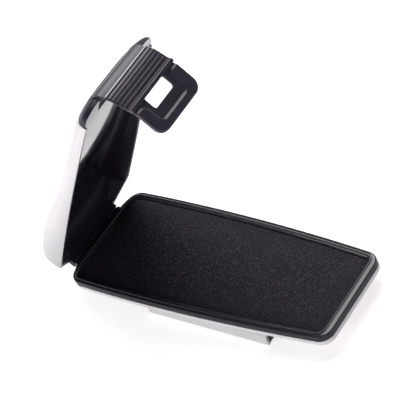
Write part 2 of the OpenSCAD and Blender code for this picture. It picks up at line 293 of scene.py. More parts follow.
@dataclass
class Shape:
    """A mesh in the making: points in case coordinates and faces that index them."""

    points: np.ndarray = field(default_factory=lambda: np.zeros((0, 3)))
    faces: list[list[int]] = field(default_factory=list)

    def add(self, points: np.ndarray, faces: Sequence[Sequence[int]]) -> "Shape":
        """Adds a further shell.

        Args:
            points: the shell's points.
            faces: its faces, which count from its own first point.

        Returns:
            This shape.
        """
        start = len(self.points)
        self.points = np.vstack([self.points, points])
        self.faces += [[start + i for i in face] for face in faces]
        return self

    def add_tube(self, rings: np.ndarray) -> "Shape":
        """Adds a shell through closed rings, with a flat face at each end.

        Args:
            rings: an array of rings by points by 3.

        Returns:
            This shape.
        """
        rows, cols = rings.shape[:2]
        faces = quads(rows, cols, True).tolist()
        faces.append(list(range(cols))[::-1])
        faces.append([(rows - 1) * cols + i for i in range(cols)])
        return self.add(rings.reshape(-1, 3), faces)

    def add_ring(self, rings: np.ndarray) -> "Shape":
        """Adds a shell that is closed both ways round, such as a frame with a hole in it.

        Args:
            rings: an array of rings by points by 3, whose last ring joins its first.

        Returns:
            This shape.
        """
        rows, cols = rings.shape[:2]
        wrapped = np.vstack([np.arange(rows * cols).reshape(rows, cols), np.arange(cols)[None, :]])
        faces = wrapped.ravel()[quads(rows + 1, cols, True)]
        return self.add(rings.reshape(-1, 3), faces.tolist())

    def add_wall(self, outer: np.ndarray, inner: np.ndarray) -> "Shape":
        """Adds the wall between two open grids of the same size, closed along all four edges.

        Args:
            outer: the outer grid, rows by points by 3.
            inner: the inner grid.

        Returns:
            This shape.
        """
        rows, cols = outer.shape[:2]
        back = rows * cols
        faces = quads(rows, cols, False).tolist()
        faces += quads(rows, cols, False, back)[:, ::-1].tolist()
        edges = [np.arange(cols), np.arange(cols) + (rows - 1) * cols]
        sides = [np.arange(rows) * cols, np.arange(rows) * cols + cols - 1]
        lines = ((edges[0], True), (edges[1], False), (sides[0], False), (sides[1], True))
        for line, flip in lines:
            a, b = (line[1:], line[:-1]) if flip else (line[:-1], line[1:])
            faces += np.column_stack([b, a, a + back, b + back]).tolist()
        return self.add(np.stack([outer, inner]).reshape(-1, 3), faces)

    def add_lidded(self, rings: np.ndarray, rows: int, rise: float) -> "Shape":
        """Adds a shell through closed rings whose last ring is closed over by a fine grid.

        The last ring is drawn towards its own centre line, which runs along X between two
        points a half width in from its ends: p(t) = ring + (foot on the line - ring) * t,
        raised by rise * (1 - (1 - t)^2).

        Args:
            rings: an array of rings by points by 3.
            rows: rows of the grid.
            rise: how far the centre line lies above the last ring.

        Returns:
            This shape.
        """
        last = rings[-1]
        half = np.abs(last[:, 1]).max()
        low, high = last[:, 0].min() + half, last[:, 0].max() - half
        foot = np.column_stack([np.clip(last[:, 0], low, high), np.zeros(len(last)), last[:, 2]])
        t = np.linspace(0, 1, rows + 1)[1:, None, None]
        drawn = last + (foot - last) * t
        drawn[..., 2] += rise * (1 - (1 - t[..., 0]) ** 2)
        every = np.concatenate([rings, drawn])
        faces = quads(len(every), len(last), True).tolist()
        faces.append(list(range(len(last)))[::-1])
        return self.add(every.reshape(-1, 3), faces)

    def made(self, name: str, part: Part) -> bpy.types.Object:
        """Makes the object, with its place in its mesh and its faces turned outwards.

        Args:
            name: the object's name.
            part: the body that it belongs to.

        Returns:
            The new object, in the scene.
        """
        mesh = bpy.data.meshes.new(name)
        mesh.from_pydata(PLACING.place(self.points, part).tolist(), [], self.faces)
        mesh.update()
        piece = bpy.data.objects.new(name, mesh)
        bpy.context.scene.collection.objects.link(piece)
        face_outwards(piece)
        return piece


def face_outwards(piece: bpy.types.Object) -> None:
    """Merges doubles and recalculates the normals of a piece so that they point out of it.

    Args:
        piece: the piece to change.
    """
    work = bmesh.new()
    work.from_mesh(piece.data)
    bmesh.ops.remove_doubles(work, verts=work.verts, dist=MERGE_DISTANCE)
    bmesh.ops.recalc_face_normals(work, faces=work.faces)
    work.to_mesh(piece.data)
    work.free()
    piece.data.update()


def closed_centres(piece: bpy.types.Object) -> np.ndarray:
    """Centres of the faces of a lid or latch piece, in case coordinates.

    Args:
        piece: the placed piece.

    Returns:
        An array of faces by 3.
    """
    centre = np.empty(len(piece.data.polygons) * 3)
    piece.data.polygons.foreach_get("center", centre)
    return PLACING.unplace(centre.reshape(-1, 3))


def settle(piece: bpy.types.Object) -> None:
    """Applies a piece's modifiers to its mesh.

    Args:
        piece: the piece to change.
    """
    graph = bpy.context.evaluated_depsgraph_get()
    graph.update()
    mesh = bpy.data.meshes.new_from_object(piece.evaluated_get(graph))
    piece.modifiers.clear()
    old, piece.data = piece.data, mesh
    bpy.data.meshes.remove(old)


def combine(piece: bpy.types.Object, others: Sequence[bpy.types.Object], join: Join) -> None:
    """Cuts other shapes out of a piece, or adds them to it, and removes them.

    Args:
        piece: the piece to change.
        others: the shapes to cut out or to add.
        join: which of the two.
    """
    for other in others:
        step = piece.modifiers.new("shape", "BOOLEAN")
        step.operation = join.value
        step.solver = "EXACT"
        step.object = other
    settle(piece)
    for other in others:
        bpy.data.objects.remove(other)


def soften(piece: bpy.types.Object, width: float, sharp: float) -> None:
    """Rounds a piece's sharp edges and shades the rest of it smooth.

    Args:
        piece: the piece to finish.
        width: width of the rounding in millimetres, or 0 for none.
        sharp: edges that turn by more than this many degrees are rounded or stay crisp.
    """
    if width:
        edge = piece.modifiers.new("edges", "BEVEL")
        edge.width = width * MM
        edge.segments = 2
        edge.limit_method = "ANGLE"
        edge.angle_limit = math.radians(sharp)
        settle(piece)
    piece.data.shade_smooth()
    piece.data.set_sharp_from_angle(angle=math.radians(sharp))


def dress(piece: bpy.types.Object, *finishes: bpy.types.Material) -> None:
    """Gives a piece its finishes in place of any that it carries.

    Args:
        piece: the piece to dress.
        finishes: its materials, the one for most of its faces first.
    """
    piece.data.materials.clear()
    for finish in finishes:
        piece.data.materials.append(finish)


def box_shape(low: Sequence[float], high: Sequence[float]) -> Shape:
    """A plain box between two corners, used as a cutter.

    Args:
        low: its lowest x, y and z.
        high: its highest x, y and z.

    Returns:
        The box.
    """
    x, y, z = (np.array([low[k], high[k]]) for k in range(3))
    ring = np.array([[x[0], y[0]], [x[1], y[0]], [x[1], y[1]], [x[0], y[1]]])
    rings = np.stack([np.column_stack([ring, np.full(4, level)]) for level in z])
    return Shape().add_tube(rings)


def bar_shape(x: float, z: float, profile: Sequence[Pair], count: int) -> Shape:
    """A turned bar along Y: the circle (x + r cos, y, z + r sin) carried along its profile.

    Args:
        x: the axis along the case.
        z: the axis from the rim plane.
        profile: places along Y, each with the radius there.
        count: points round the bar.

    Returns:
        The bar.
    """
    angle = np.linspace(0, 2 * math.pi, count, endpoint=False)
    circle = np.column_stack([np.cos(angle), np.zeros(count), np.sin(angle)])
    rings = [np.array([x, y, z]) + circle * radius for y, radius in profile]
    return Shape().add_tube(np.stack(rings))


def prism_shape(outline: np.ndarray, y0: float, y1: float, edge: float) -> Shape:
    """A closed outline in the XZ plane drawn out along Y, with rounded rims at both ends.

    Near an end the outline draws in by edge * (1 - cos) while Y runs by edge * sin, which is
    a quarter circle of radius edge.

    Args:
        outline: the outline's x and z.
        y0: near end.
        y1: far end.
        edge: radius of the rims.

    Returns:
        The prism.
    """
    normal = outward(outline)
    turn = np.linspace(0, math.pi / 2, 5)
    draw = np.concatenate([(1 - np.cos(turn))[::-1], 1 - np.cos(turn)]) * edge
    near = y0 + edge - np.sin(turn)[::-1] * edge
    far = y1 - edge + np.sin(turn) * edge
    along = np.concatenate([near, far])
    drawn = outline[None] - normal[None] * draw[:, None, None]
    level = np.broadcast_to(along[:, None], drawn.shape[:2])
    return Shape().add_tube(np.stack([drawn[..., 0], level, drawn[..., 1]], axis=-1))


# --------------------------------------------------------------------------- shader maths


Value = Union["Signal", float]


class Signal:
    """One output of a node, which can be added and multiplied like a number."""

    def __init__(self, book: "NodeBook", node: bpy.types.Node, output: str | int) -> None:
        """Points at an output of a node that book has made."""
        self.book = book
        self.node = node
        self.output = output

    @property
    def socket(self) -> bpy.types.NodeSocket:
        """The output's socket."""
        return self.node.outputs[self.output]

    def beside(self, output: str | int) -> "Signal":
        """Another output of the same node."""
        return Signal(self.book, self.node, output)

    def _math(self, operation: str, other: Value) -> "Signal":
        """One Math node on this value and another."""
        return self.book.node("ShaderNodeMath", {"operation": operation}, {0: self, 1: other})

    def __add__(self, other: Value) -> "Signal":
        """Sum."""
        return self._math("ADD", other)

    def __mul__(self, other: Value) -> "Signal":
        """Product."""
        return self._math("MULTIPLY", other)

    __radd__ = __add__
    __rmul__ = __mul__


def set_stops(elements: Any, stops: Sequence[tuple[float, Any]]) -> None:
    """Sets the stops of a colour ramp.

    Args:
        elements: the ramp's elements.
        stops: places and colours in order; a number stands for that grey.
    """
    while len(elements) > 1:
        elements.remove(elements[-1])
    for index, (place, colour) in enumerate(stops):
        stop = elements[0] if index == 0 else elements.new(place)
        stop.position = place
        grey = isinstance(colour, (int, float))
        stop.color = (colour, colour, colour, 1) if grey else (*colour, 1)


class NodeBook:
    """Writes the nodes of one tree, every one through its node method."""

    def __init__(self, tree: bpy.types.NodeTree) -> None:
        """Starts from an empty tree."""
        self.tree = tree
        self.tree.nodes.clear()

    def node(
        self,
        kind: str,
        settings: dict[str, Any] | None = None,
        inputs: dict[Any, Any] | None = None,
        output: str | int = 0,
    ) -> Signal:
        """Makes one node.

        Args:
            kind: the node's Blender type.
            settings: properties, set first; "stops" sets a colour ramp's places and colours.
            inputs: socket names or indices with the value, colour or Signal each one takes.
            output: which output to return.

        Returns:
            The node's output as a Signal.
        """
        made = self.tree.nodes.new(kind)
        for key, value in (settings or {}).items():
            if key == "stops":
                set_stops(made.color_ramp.elements, value)
            else:
                setattr(made, key, value)
        for key, value in (inputs or {}).items():
            self.feed(made.inputs[key], value)
        return Signal(self, made, output)

    def feed(self, socket: bpy.types.NodeSocket, value: Any) -> None:
        """Links a Signal to an input, or sets the input's own value.

        Args:
            socket: the input.
            value: a Signal, number, vector or colour.
        """
        if isinstance(value, Signal):
            self.tree.links.new(value.socket, socket)
        elif socket.type == "RGBA" and len(value) == 3:
            socket.default_value = (*value, 1)
        else:
            socket.default_value = value


class Shader(NodeBook):
    """Writes one material round a Principled shader, with its patterns on Object coordinates."""

    def __init__(self, name: str) -> None:
        """Starts a material with the shader on its output.

        Args:
            name: the material's name.
        """
        self.material = bpy.data.materials.new(name)
        self.material.use_nodes = True
        super().__init__(self.material.node_tree)
        self.main = self.node("ShaderNodeBsdfPrincipled")
        self.end = self.node("ShaderNodeOutputMaterial", {}, {"Surface": self.main})
        self.place = self.node("ShaderNodeTexCoord", output="Object")

    def noise(self, scale: float, detail: float, stretch: Sequence[float] = (1, 1, 1)) -> Signal:
        """Noise from 0 to 1.

        Args:
            scale: its scale per metre.
            detail: how many finer noises are laid over it.
            stretch: its scale along each axis; below 1 draws it out.

        Returns:
            The noise.
        """
        spot = self.node("ShaderNodeMapping", {}, {"Vector": self.place, "Scale": tuple(stretch)})
        inputs = {"Vector": spot, "Scale": scale, "Detail": detail}
        return self.node("ShaderNodeTexNoise", {}, inputs)

    def cells(self, scale: float) -> Signal:
        """Distance from the middle of round cells, of the given scale per metre."""
        inputs = {"Vector": self.place, "Scale": scale}
        return self.node("ShaderNodeTexVoronoi", {"feature": "F1"}, inputs)

    def ramp(self, value: Signal, low: float, high: float) -> Signal:
        """Black up to low, white from high and grey between them."""
        return self.node("ShaderNodeValToRGB", {"stops": [(low, 0.0), (high, 1.0)]}, {"Fac": value})

    def mix(self, factor: Value, a: Any, b: Any) -> Signal:
        """A colour between a and b."""
        return self.node("ShaderNodeMix", {"data_type": "RGBA"}, {0: factor, 6: a, 7: b}, 2)

    def bump(
        self, height: Signal, strength: float, distance: float, under: Signal | None = None
    ) -> Signal:
        """A bump, on top of another one if that is given.

        Args:
            height: the pattern, 0 to 1.
            strength: share of the pattern's height that counts.
            distance: the pattern's height in metres.
            under: the bump below.

        Returns:
            The bumped normal.
        """
        inputs: dict[Any, Any] = {"Height": height, "Strength": strength, "Distance": distance}
        if under is not None:
            inputs["Normal"] = under
        return self.node("ShaderNodeBump", {}, inputs)

    def set(self, **values: Any) -> None:
        """Sets or links the shader's sockets; a name's underscores stand for spaces."""
        for key, value in values.items():
            self.feed(self.main.node.inputs[key.replace("_", " ")], value)


# --------------------------------------------------------------------------- finishes


def scaled(colour: Triple, factor: float) -> Triple:
    """A colour made darker or paler by a factor."""
    red, green, blue = colour
    return (red * factor, green * factor, blue * factor)


@dataclass(frozen=True)
class MouldedBlack:
    """Black moulding: nearly smooth, with a faint ripple from the tool and light handling haze.

    Its roughness is roughness + haze * (2 * cloud - 1), its colour runs up to paler * colour.

    Args:
        name: the material's name.
        colour: base colour.
        roughness: mean roughness.
        haze: how far the roughness wanders.
        ripple: height of the ripple in millimetres.
        ior: index of refraction, which sets how strongly it mirrors.
        coat: weight of the clear lacquer.
        coat_roughness: roughness of the lacquer.
        paler: how much paler the colour gets in the haze.
        cloud_scale: scale of the haze per metre.
        ripple_scale: scale of the ripple per metre.
    """

    name: str
    colour: Triple = (0.012, 0.012, 0.016)
    roughness: float = 0.14
    haze: float = 0.08
    ripple: float = 0.004
    ior: float = 1.5
    coat: float = 0.0
    coat_roughness: float = 0.06
    paler: float = 1.5
    cloud_scale: float = 260
    ripple_scale: float = 420

    def make(self) -> bpy.types.Material:
        """Makes the material.

        Returns:
            The material.
        """
        shader = Shader(self.name)
        cloud = shader.noise(self.cloud_scale, detail=3)
        ripples = shader.noise(self.ripple_scale, detail=1)
        shader.set(
            Base_Color=shader.mix(cloud, self.colour, scaled(self.colour, self.paler)),
            Roughness=cloud * (2 * self.haze) + (self.roughness - self.haze),
            IOR=self.ior,
            Coat_Weight=self.coat,
            Coat_Roughness=self.coat_roughness,
            Normal=shader.bump(ripples, strength=1.0, distance=self.ripple * MM),
        )
        return shader.material


@dataclass(frozen=True)
class SatinSilver:
    """Satin silver sheet: a pale metal with a fine even haze and faint drawing lines.

    Its roughness is roughness + haze * (cloud - 1/2) + streak * (drawn - 1/2).

    Args:
        name: the material's name.
        colour: metal colour.
        roughness: mean roughness.
        metallic: how metallic it is, lower where it is lacquered.
        haze: how far the roughness wanders in clouds.
        streak: how far it wanders along the drawing lines.
        lines: height of the drawing lines in millimetres.
        relief: share of that height that counts.
        darker: how dark the flecks are against the colour.
        cloud_scale: scale of the haze per metre.
        line_scale: scale of the drawing lines per metre.
        along: their scale along each axis, which draws them out across the case.
        fleck_scale: scale of the flecks per metre.
    """

    name: str
    colour: Triple = (0.86, 0.86, 0.87)
    roughness: float = 0.3
    metallic: float = 1.0
    haze: float = 0.06
    streak: float = 0.03
    lines: float = 0.0008
    relief: float = 0.1
    darker: float = 0.95
    cloud_scale: float = 90
    line_scale: float = 1500
    along: Triple = (1, 0.06, 1)
    fleck_scale: float = 5200

    def make(self) -> bpy.types.Material:
        """Makes the material.

        Returns:
            The material.
        """
        shader = Shader(self.name)
        cloud = shader.noise(self.cloud_scale, detail=2)
        drawn = shader.noise(self.line_scale, detail=2, stretch=self.along)
        fleck = shader.noise(self.fleck_scale, detail=1)
        least = self.roughness - (self.haze + self.streak) / 2
        shader.set(
            Base_Color=shader.mix(fleck, scaled(self.colour, self.darker), self.colour),
            Metallic=self.metallic,
            Roughness=cloud * self.haze + drawn * self.streak + least,
            Normal=shader.bump(drawn, strength=self.relief, distance=self.lines * MM),
        )
        return shader.material


@dataclass(frozen=True)
class SpeckledPad:
    """Charcoal foam-backed leatherette: a dark violet-grey ground, fine pebble and pale flecks.

    Args:
        name: the material's name.
        ground: main colour.
        fleck: colour of the pale flecks.
        darker: how dark the ground's hollows are against its colour.
        pebble: size of the pebble in millimetres.
        pebble_height: height of the pebble in millimetres.
        pebble_relief: share of that height that counts.
        grain: scale of the finer grain under it, against the pebble's.
        grain_height: height of that grain in millimetres.
        grain_relief: share of that height that counts.
        hollow: scale of the hollows against the pebble's.
        hollow_band: noise at which the ground starts and ends turning from hollow to full.
        speck: scale of the flecks against the pebble's.
        speck_band: noise at which a fleck starts and is full.
        roughness: least roughness.
        worn: how much rougher it gets in patches.
        patch_scale: scale of those patches per metre.
        specular: strength of the mirrored light.
    """

    name: str
    ground: Triple = (0.011, 0.0095, 0.014)
    fleck: Triple = (0.1, 0.09, 0.12)
    darker: float = 0.55
    pebble: float = 0.36
    pebble_height: float = 0.06
    pebble_relief: float = 0.8
    grain: float = 2.2
    grain_height: float = 0.05
    grain_relief: float = 0.7
    hollow: float = 0.9
    hollow_band: Pair = (0.35, 0.65)
    speck: float = 1.5
    speck_band: Pair = (0.56, 0.72)
    roughness: float = 0.62
    worn: float = 0.12
    patch_scale: float = 140
    specular: float = 0.15

    def make(self) -> bpy.types.Material:
        """Makes the material.

        Returns:
            The material.
        """
        shader = Shader(self.name)
        scale = 1 / (self.pebble * MM)
        hollows = shader.ramp(shader.noise(scale * self.hollow, detail=2), *self.hollow_band)
        specks = shader.ramp(shader.noise(scale * self.speck, detail=1), *self.speck_band)
        patches = shader.noise(self.patch_scale, detail=2)
        ground = shader.mix(hollows, scaled(self.ground, self.darker), self.ground)
        fine = shader.noise(scale * self.grain, detail=2)
        grain = shader.bump(fine, self.grain_relief, self.grain_height * MM)
        pebbled = shader.bump(
            shader.cells(scale), self.pebble_relief, self.pebble_height * MM, under=grain
        )
        shader.set(
            Base_Color=shader.mix(specks, ground, self.fleck),
            Roughness=patches * self.worn + self.roughness,
            Specular_IOR_Level=self.specular,
            Normal=pebbled,
        )
        return shader.material


@dataclass(frozen=True)
class BackingFoam:
    """Grey backing foam, open-celled and matt.

    Args:
        name: the material's name.
        colour: colour of the cells' middles.
        darker: how dark their walls are against it.
        roughness: its roughness.
        cell_scale: scale of the cells per metre.
        cell_depth: depth of the cells in millimetres.
    """

    name: str
    colour: Triple = (0.08, 0.08, 0.085)
    darker: float = 0.5
    roughness: float = 0.9
    cell_scale: float = 2400.0
    cell_depth: float = 0.12

    def make(self) -> bpy.types.Material:
        """Makes the material.

        Returns:
            The material.
        """
        shader = Shader(self.name)
        cells = shader.cells(self.cell_scale)
        shader.set(
            Base_Color=shader.mix(cells, self.colour, scaled(self.colour, self.darker)),
            Roughness=self.roughness,
            Normal=shader.bump(cells, strength=1.0, distance=self.cell_depth * MM),
        )
        return shader.material


@dataclass(frozen=True)
class PlainMetal:
    """Plated or turned steel with fine scratches and a cloudy dulling.

    Its roughness is roughness + haze * (cloud - 1/2) + scratches * (scratch - 1/2).

    Args:
        name: the material's name.
        colour: metal colour.
        metallic: how metallic the surface is, lower where it is painted or a ceramic.
        roughness: mean roughness.
        grit: height of the surface grit in millimetres.
        spread: how far the colour wanders.
        haze: how far the roughness wanders in clouds.
        scratches: how far it wanders along the scratches.
        cloud_scale: scale of the dulling per metre.
        scratch_scale: scale of the scratches per metre.
        along: their scale along each axis, which draws them out along the case.
        grit_scale: scale of the grit per metre.
        relief: share of the grit's height that counts.
    """

    name: str
    colour: Triple = (0.62, 0.62, 0.64)
    metallic: float = 1.0
    roughness: float = 0.35
    grit: float = 0.004
    spread: float = 0.12
    haze: float = 0.16
    scratches: float = 0.08
    cloud_scale: float = 350
    scratch_scale: float = 2600
    along: Triple = (0.08, 1, 1)
    grit_scale: float = 4200
    relief: float = 0.8

    def make(self) -> bpy.types.Material:
        """Makes the material.

        Returns:
            The material.
        """
        shader = Shader(self.name)
        cloud = shader.noise(self.cloud_scale, detail=4)
        scratch = shader.noise(self.scratch_scale, detail=2, stretch=self.along)
        grit = shader.noise(self.grit_scale, detail=2)
        least = self.roughness - (self.haze + self.scratches) / 2
        shader.set(
            Base_Color=shader.mix(cloud, scaled(self.colour, 1 - self.spread), self.colour),
            Metallic=self.metallic,
            Roughness=cloud * self.haze + scratch * self.scratches + least,
            Normal=shader.bump(grit, strength=self.relief, distance=self.grit * MM),
        )
        return shader.material


# --------------------------------------------------------------------------- base

ProfileRow = tuple[float, float, float, float]


def even(inset: float, height: float) -> ProfileRow:
    """A profile row that is drawn in by the same amount all the way round."""
    return (inset, inset, inset, height)


@dataclass(frozen=True)
class CasePlan:
    """Plan of the case: bowed sides, a straight free end and slanted hinge corners.

    Args:
        length: from the hinge end to the free end.
        width: greatest width.
        bow: how fast the half width falls away from the widest place.
        widest: x of the widest place.
        side: x from which to which the sides run freely between the corners.
        free_r: radius of the free end's corners.
        hinge_y: half width of the straight hinge end.
        hinge_slant: x at which the slanted corner meets the side.
        hinge_end_r: radius where the hinge end meets the slant.
        hinge_r: radius where the slant meets the side.
        points: points round the outline.
    """

    length: float = 88.0
    width: float = 34.6
    bow: float = 0.0007
    widest: float = 20.8
    side: Pair = (12.0, 80.0)
    free_r: float = 3.8
    hinge_y: float = 11.6
    hinge_slant: float = 1.4
    hinge_end_r: float = 3.0
    hinge_r: float = 4.0
    points: int = 420

    def half_width(self, x: np.ndarray | float) -> np.ndarray:
        """Half width at x: width / 2 - bow * (x - widest)^2."""
        return self.width / 2 - self.bow * (np.asarray(x, float) - self.widest) ** 2

    def outline(self) -> np.ndarray:
        """The plan's closed outline: the near half, and the same half mirrored.

        Returns:
            An array of points by 2, evenly divided along the outline.
        """
        x = np.linspace(*self.side, 60)
        side = np.column_stack([x, -self.half_width(x)])
        start, corner = (0.0, -self.hinge_y), (self.hinge_slant, -float(self.half_width(0)))
        end = (self.length, -float(self.half_width(self.length)))
        near = np.vstack(
            [
                fillet((0, 0), start, corner, self.hinge_end_r, 6),
                fillet(start, corner, side[0], self.hinge_r, 14),
                side,
                fillet(side[-1], end, (self.length, 0), self.free_r, 18),
            ]
        )
        return resampled(np.vstack([near, near[::-1] * [1, -1]]), self.points)

    def rings(self, profile: Sequence[ProfileRow]) -> np.ndarray:
        """Carries a profile round the plan.

        Each row draws the outline in along its normal, by its first number along the sides,
        its second at the free end and its third at the hinge end, blended by the squares of
        the normal's components.

        Args:
            profile: rows of three insets and a height.

        Returns:
            An array of rows by points by 3.
        """
        outline = self.outline()
        normal = outward(outline)
        entry = np.array(profile, float)
        across = normal[:, 1] ** 2
        free = np.where(normal[:, 0] > 0, normal[:, 0] ** 2, 0)
        hinge = np.where(normal[:, 0] > 0, 0, normal[:, 0] ** 2)
        inset = entry[:, 0:1] * across + entry[:, 1:2] * free + entry[:, 2:3] * hinge
        flat = outline[None] - normal[None] * inset[..., None]
        height = np.broadcast_to(entry[:, 3:4], inset.shape)
        return np.concatenate([flat, height[..., None]], axis=-1)


@dataclass
class Knuckles:
    """The hinge's barrels along Y, shared out between base and lid.

    Args:
        radius: radius of the barrels.
        ease: width of the slope at a barrel's ends.
        room: air that the base leaves round the lid's barrels.
        lid_room: air that the lid leaves round the base's barrels.
        gap: air between two barrels along Y.
        base: near and far end of each barrel on the base.
        lid: the same on the lid.
        facets: points round a barrel.
    """

    radius: float = 1.6
    ease: float = 0.18
    room: float = 0.3
    lid_room: float = 0.25
    gap: float = 0.15
    base: tuple[Pair, ...] = ((-11.0, -6.7), (-2.25, 2.25), (6.7, 11.0))
    lid: tuple[Pair, ...] = ((-6.55, -2.4), (2.4, 6.55))
    facets: int = 56

    def barrel(self, span: Pair, part: Part) -> bpy.types.Object:
        """One barrel with eased ends.

        Args:
            span: its near and far end.
            part: the body that it belongs to.

        Returns:
            The barrel.
        """
        (y0, y1), end = span, self.radius - self.ease
        full = [(y0 + self.ease, self.radius), (y1 - self.ease, self.radius)]
        profile = [(y0, end), *full, (y1, end)]
        bar = bar_shape(PLACING.hinge_x, PLACING.hinge_z, profile, self.facets)
        return bar.made("barrel", part)

    def clearance(self, span: Pair, extra: float, part: Part) -> bpy.types.Object:
        """The round room that the other side's barrel needs.

        Args:
            span: that barrel's near and far end.
            extra: air round it.
            part: the body that makes room.

        Returns:
            A cutter.
        """
        radius = self.radius + extra
        profile = [(span[0] - self.gap, radius), (span[1] + self.gap, radius)]
        bar = bar_shape(PLACING.hinge_x, PLACING.hinge_z, profile, self.facets)
        return bar.made("room", part)


@dataclass
class BaseAssembly:
    """Tray, skin and pad of the base.

    Args:
        plan: the case's plan.
        knuckles: the hinge's barrels.
        wall: depth of the tray's outer wall, down to the skin's edge.
        height: from the rim plane to the skin's underside.
        skin: thickness of the skin.
        bead: height of the rim's bead.
        pocket: how far the pad's pocket lies in from the side, the free and the hinge end.
        pocket_depth: its depth.
        web: a web that joins a barrel to the tray, by its lowest z, the x of its inner end, and
            the z of its top at the hinge and at the inner end.
        web_ease: how far a web stands back from its barrel's ends.
        foam: thickness of the backing foam.
        pad_gap: air round the pad.
        pad_edge: how far the pad's rounded edge runs inwards.
        pad_shoulder: height at which that edge starts.
        pad_round: how far the edge rises.
        pad_rise: height over the edge that the crown nears.
        pad_reach: distance in which it rises by about two thirds of that.
        pad_middle: how far the middle lies above the crown's last ring.
    """

    plan: CasePlan = field(default_factory=CasePlan)
    knuckles: Knuckles = field(default_factory=Knuckles)
    wall: float = 1.9
    height: float = 3.4
    skin: float = 0.45
    bead: float = 0.3
    pocket: Triple = (2.2, 2.95, 2.6)
    pocket_depth: float = 1.5
    web: tuple[float, float, float, float] = (-3.3, 1.4, -1.1, -0.9)
    web_ease: float = 0.05
    foam: float = 0.65
    pad_gap: float = 0.1
    pad_edge: float = 0.32
    pad_shoulder: float = -0.62
    pad_round: float = 0.22
    pad_rise: float = 0.12
    pad_reach: float = 1.6
    pad_middle: float = 0.08

    def lid_rooms(self) -> list[bpy.types.Object]:
        """Cutters that make room for the lid's barrels."""
        spans, room = self.knuckles.lid, self.knuckles.room
        return [self.knuckles.clearance(span, room, Part.BASE) for span in spans]

    def tray(self, finish: bpy.types.Material) -> bpy.types.Object:
        """The black tray: a moulded rim with a bead, a pocket for the pad, and its barrels.

        Args:
            finish: its material.

        Returns:
            The finished piece.
        """
        low = -self.height + self.skin + 0.05
        side, free, hinge = self.pocket
        profile = [
            # the part inside the skin, and the ledge over its edge
            (0.75, 0.75, 0.5, low),
            (0.55, 0.55, 0.3, low + 0.2),
            (0.55, 0.55, 0.3, -self.wall - 0.1),
            (0.5, 0.5, 0.3, -self.wall),
            even(0.08, -self.wall),
            # the outer wall and its rounded top edge
            even(0.0, -self.wall + 0.08),
            even(0.0, -0.42),
            even(0.02, -0.28),
            even(0.09, -0.13),
            even(0.2, -0.04),
            (0.35, 0.4, 0.35, 0.0),
            # the raised bead
            (0.78, 1.25, 0.78, 0.0),
            (0.88, 1.37, 0.88, 0.05),
            (0.96, 1.45, 0.96, self.bead * 0.72),
            (1.06, 1.55, 1.06, self.bead * 0.96),
            (1.16, 1.66, 1.16, self.bead),
            (1.27, 1.77, 1.27, self.bead * 0.9),
            (1.37, 1.87, 1.37, self.bead * 0.5),
            (1.44, 1.94, 1.44, -0.02),
            (1.52, 2.02, 1.52, -0.12),
            # the inner ledge and the pocket's wall and floor
            (1.64, 2.14, 1.66, -0.16),
            (side - 0.2, free - 0.2, hinge - 0.2, -0.2),
            (side - 0.05, free - 0.05, hinge - 0.05, -0.27),
            (side, free, hinge, -0.42),
            (side, free, hinge, -self.pocket_depth),
        ]
        piece = Shape().add_tube(self.plan.rings(profile)).made("tray_moulding", Part.BASE)
        combine(piece, self.lid_rooms(), Join.CUT)
        bottom, inner_x, hinge_top, inner_top = self.web
        x = PLACING.hinge_x
        web = np.array([[x, bottom], [inner_x, bottom], [inner_x, inner_top], [x, hinge_top]])
        ease = self.web_ease
        added = []
        for y0, y1 in self.knuckles.base:
            added.append(self.knuckles.barrel((y0, y1), Part.BASE))
            added.append(prism_shape(web, y0 + ease, y1 - ease, ease).made("web", Part.BASE))
        combine(piece, added, Join.ADD)
        soften(piece, width=0, sharp=32)
        dress(piece, finish)
        return piece

    def skin_sheet(self, finish: bpy.types.Material) -> bpy.types.Object:
        """The silver skin: a shallow pressed pan that wraps the tray's lower half.

        Args:
            finish: its material.

        Returns:
            The finished piece.
        """
        inner, bottom, top = self.skin, -self.height, -self.wall - 0.03
        profile = [
            # the inside, from its floor up to the folded edge
            (inner + 0.2, inner + 0.2, 0.35, bottom + self.skin),
            (inner, inner, 0.15, bottom + self.skin + 0.15),
            (inner, inner, 0.15, top - 0.04),
            (inner - 0.06, inner - 0.06, 0.12, top),
            # the outside, down round the lower edge
            (0.08, 0.08, 0.05, top),
            even(0.01, top - 0.07),
            even(0.0, top - 0.17),
            even(0.0, bottom + 0.42),
            even(0.03, bottom + 0.26),
            even(0.12, bottom + 0.12),
            even(0.25, bottom + 0.035),
            even(0.42, bottom),
            even(1.2, bottom),
        ]
        piece = Shape().add_tube(self.plan.rings(profile)).made("skin_pan", Part.BASE)
        cuts = self.lid_rooms()
        for y0, y1 in self.knuckles.base:
            low = (-3, y0 - self.knuckles.gap, bottom - 1)
            high = (1.6, y1 + self.knuckles.gap, 0.5)
            cuts.append(box_shape(low, high).made("notch", Part.BASE))
        combine(piece, cuts, Join.CUT)
        soften(piece, width=0, sharp=35)
        dress(piece, finish)
        return piece

    def pad_row(self, inset: float, z: float) -> ProfileRow:
        """A profile row drawn in from the pocket's wall."""
        side, free, hinge = (wall + self.pad_gap + inset for wall in self.pocket)
        return (side, free, hinge, z)

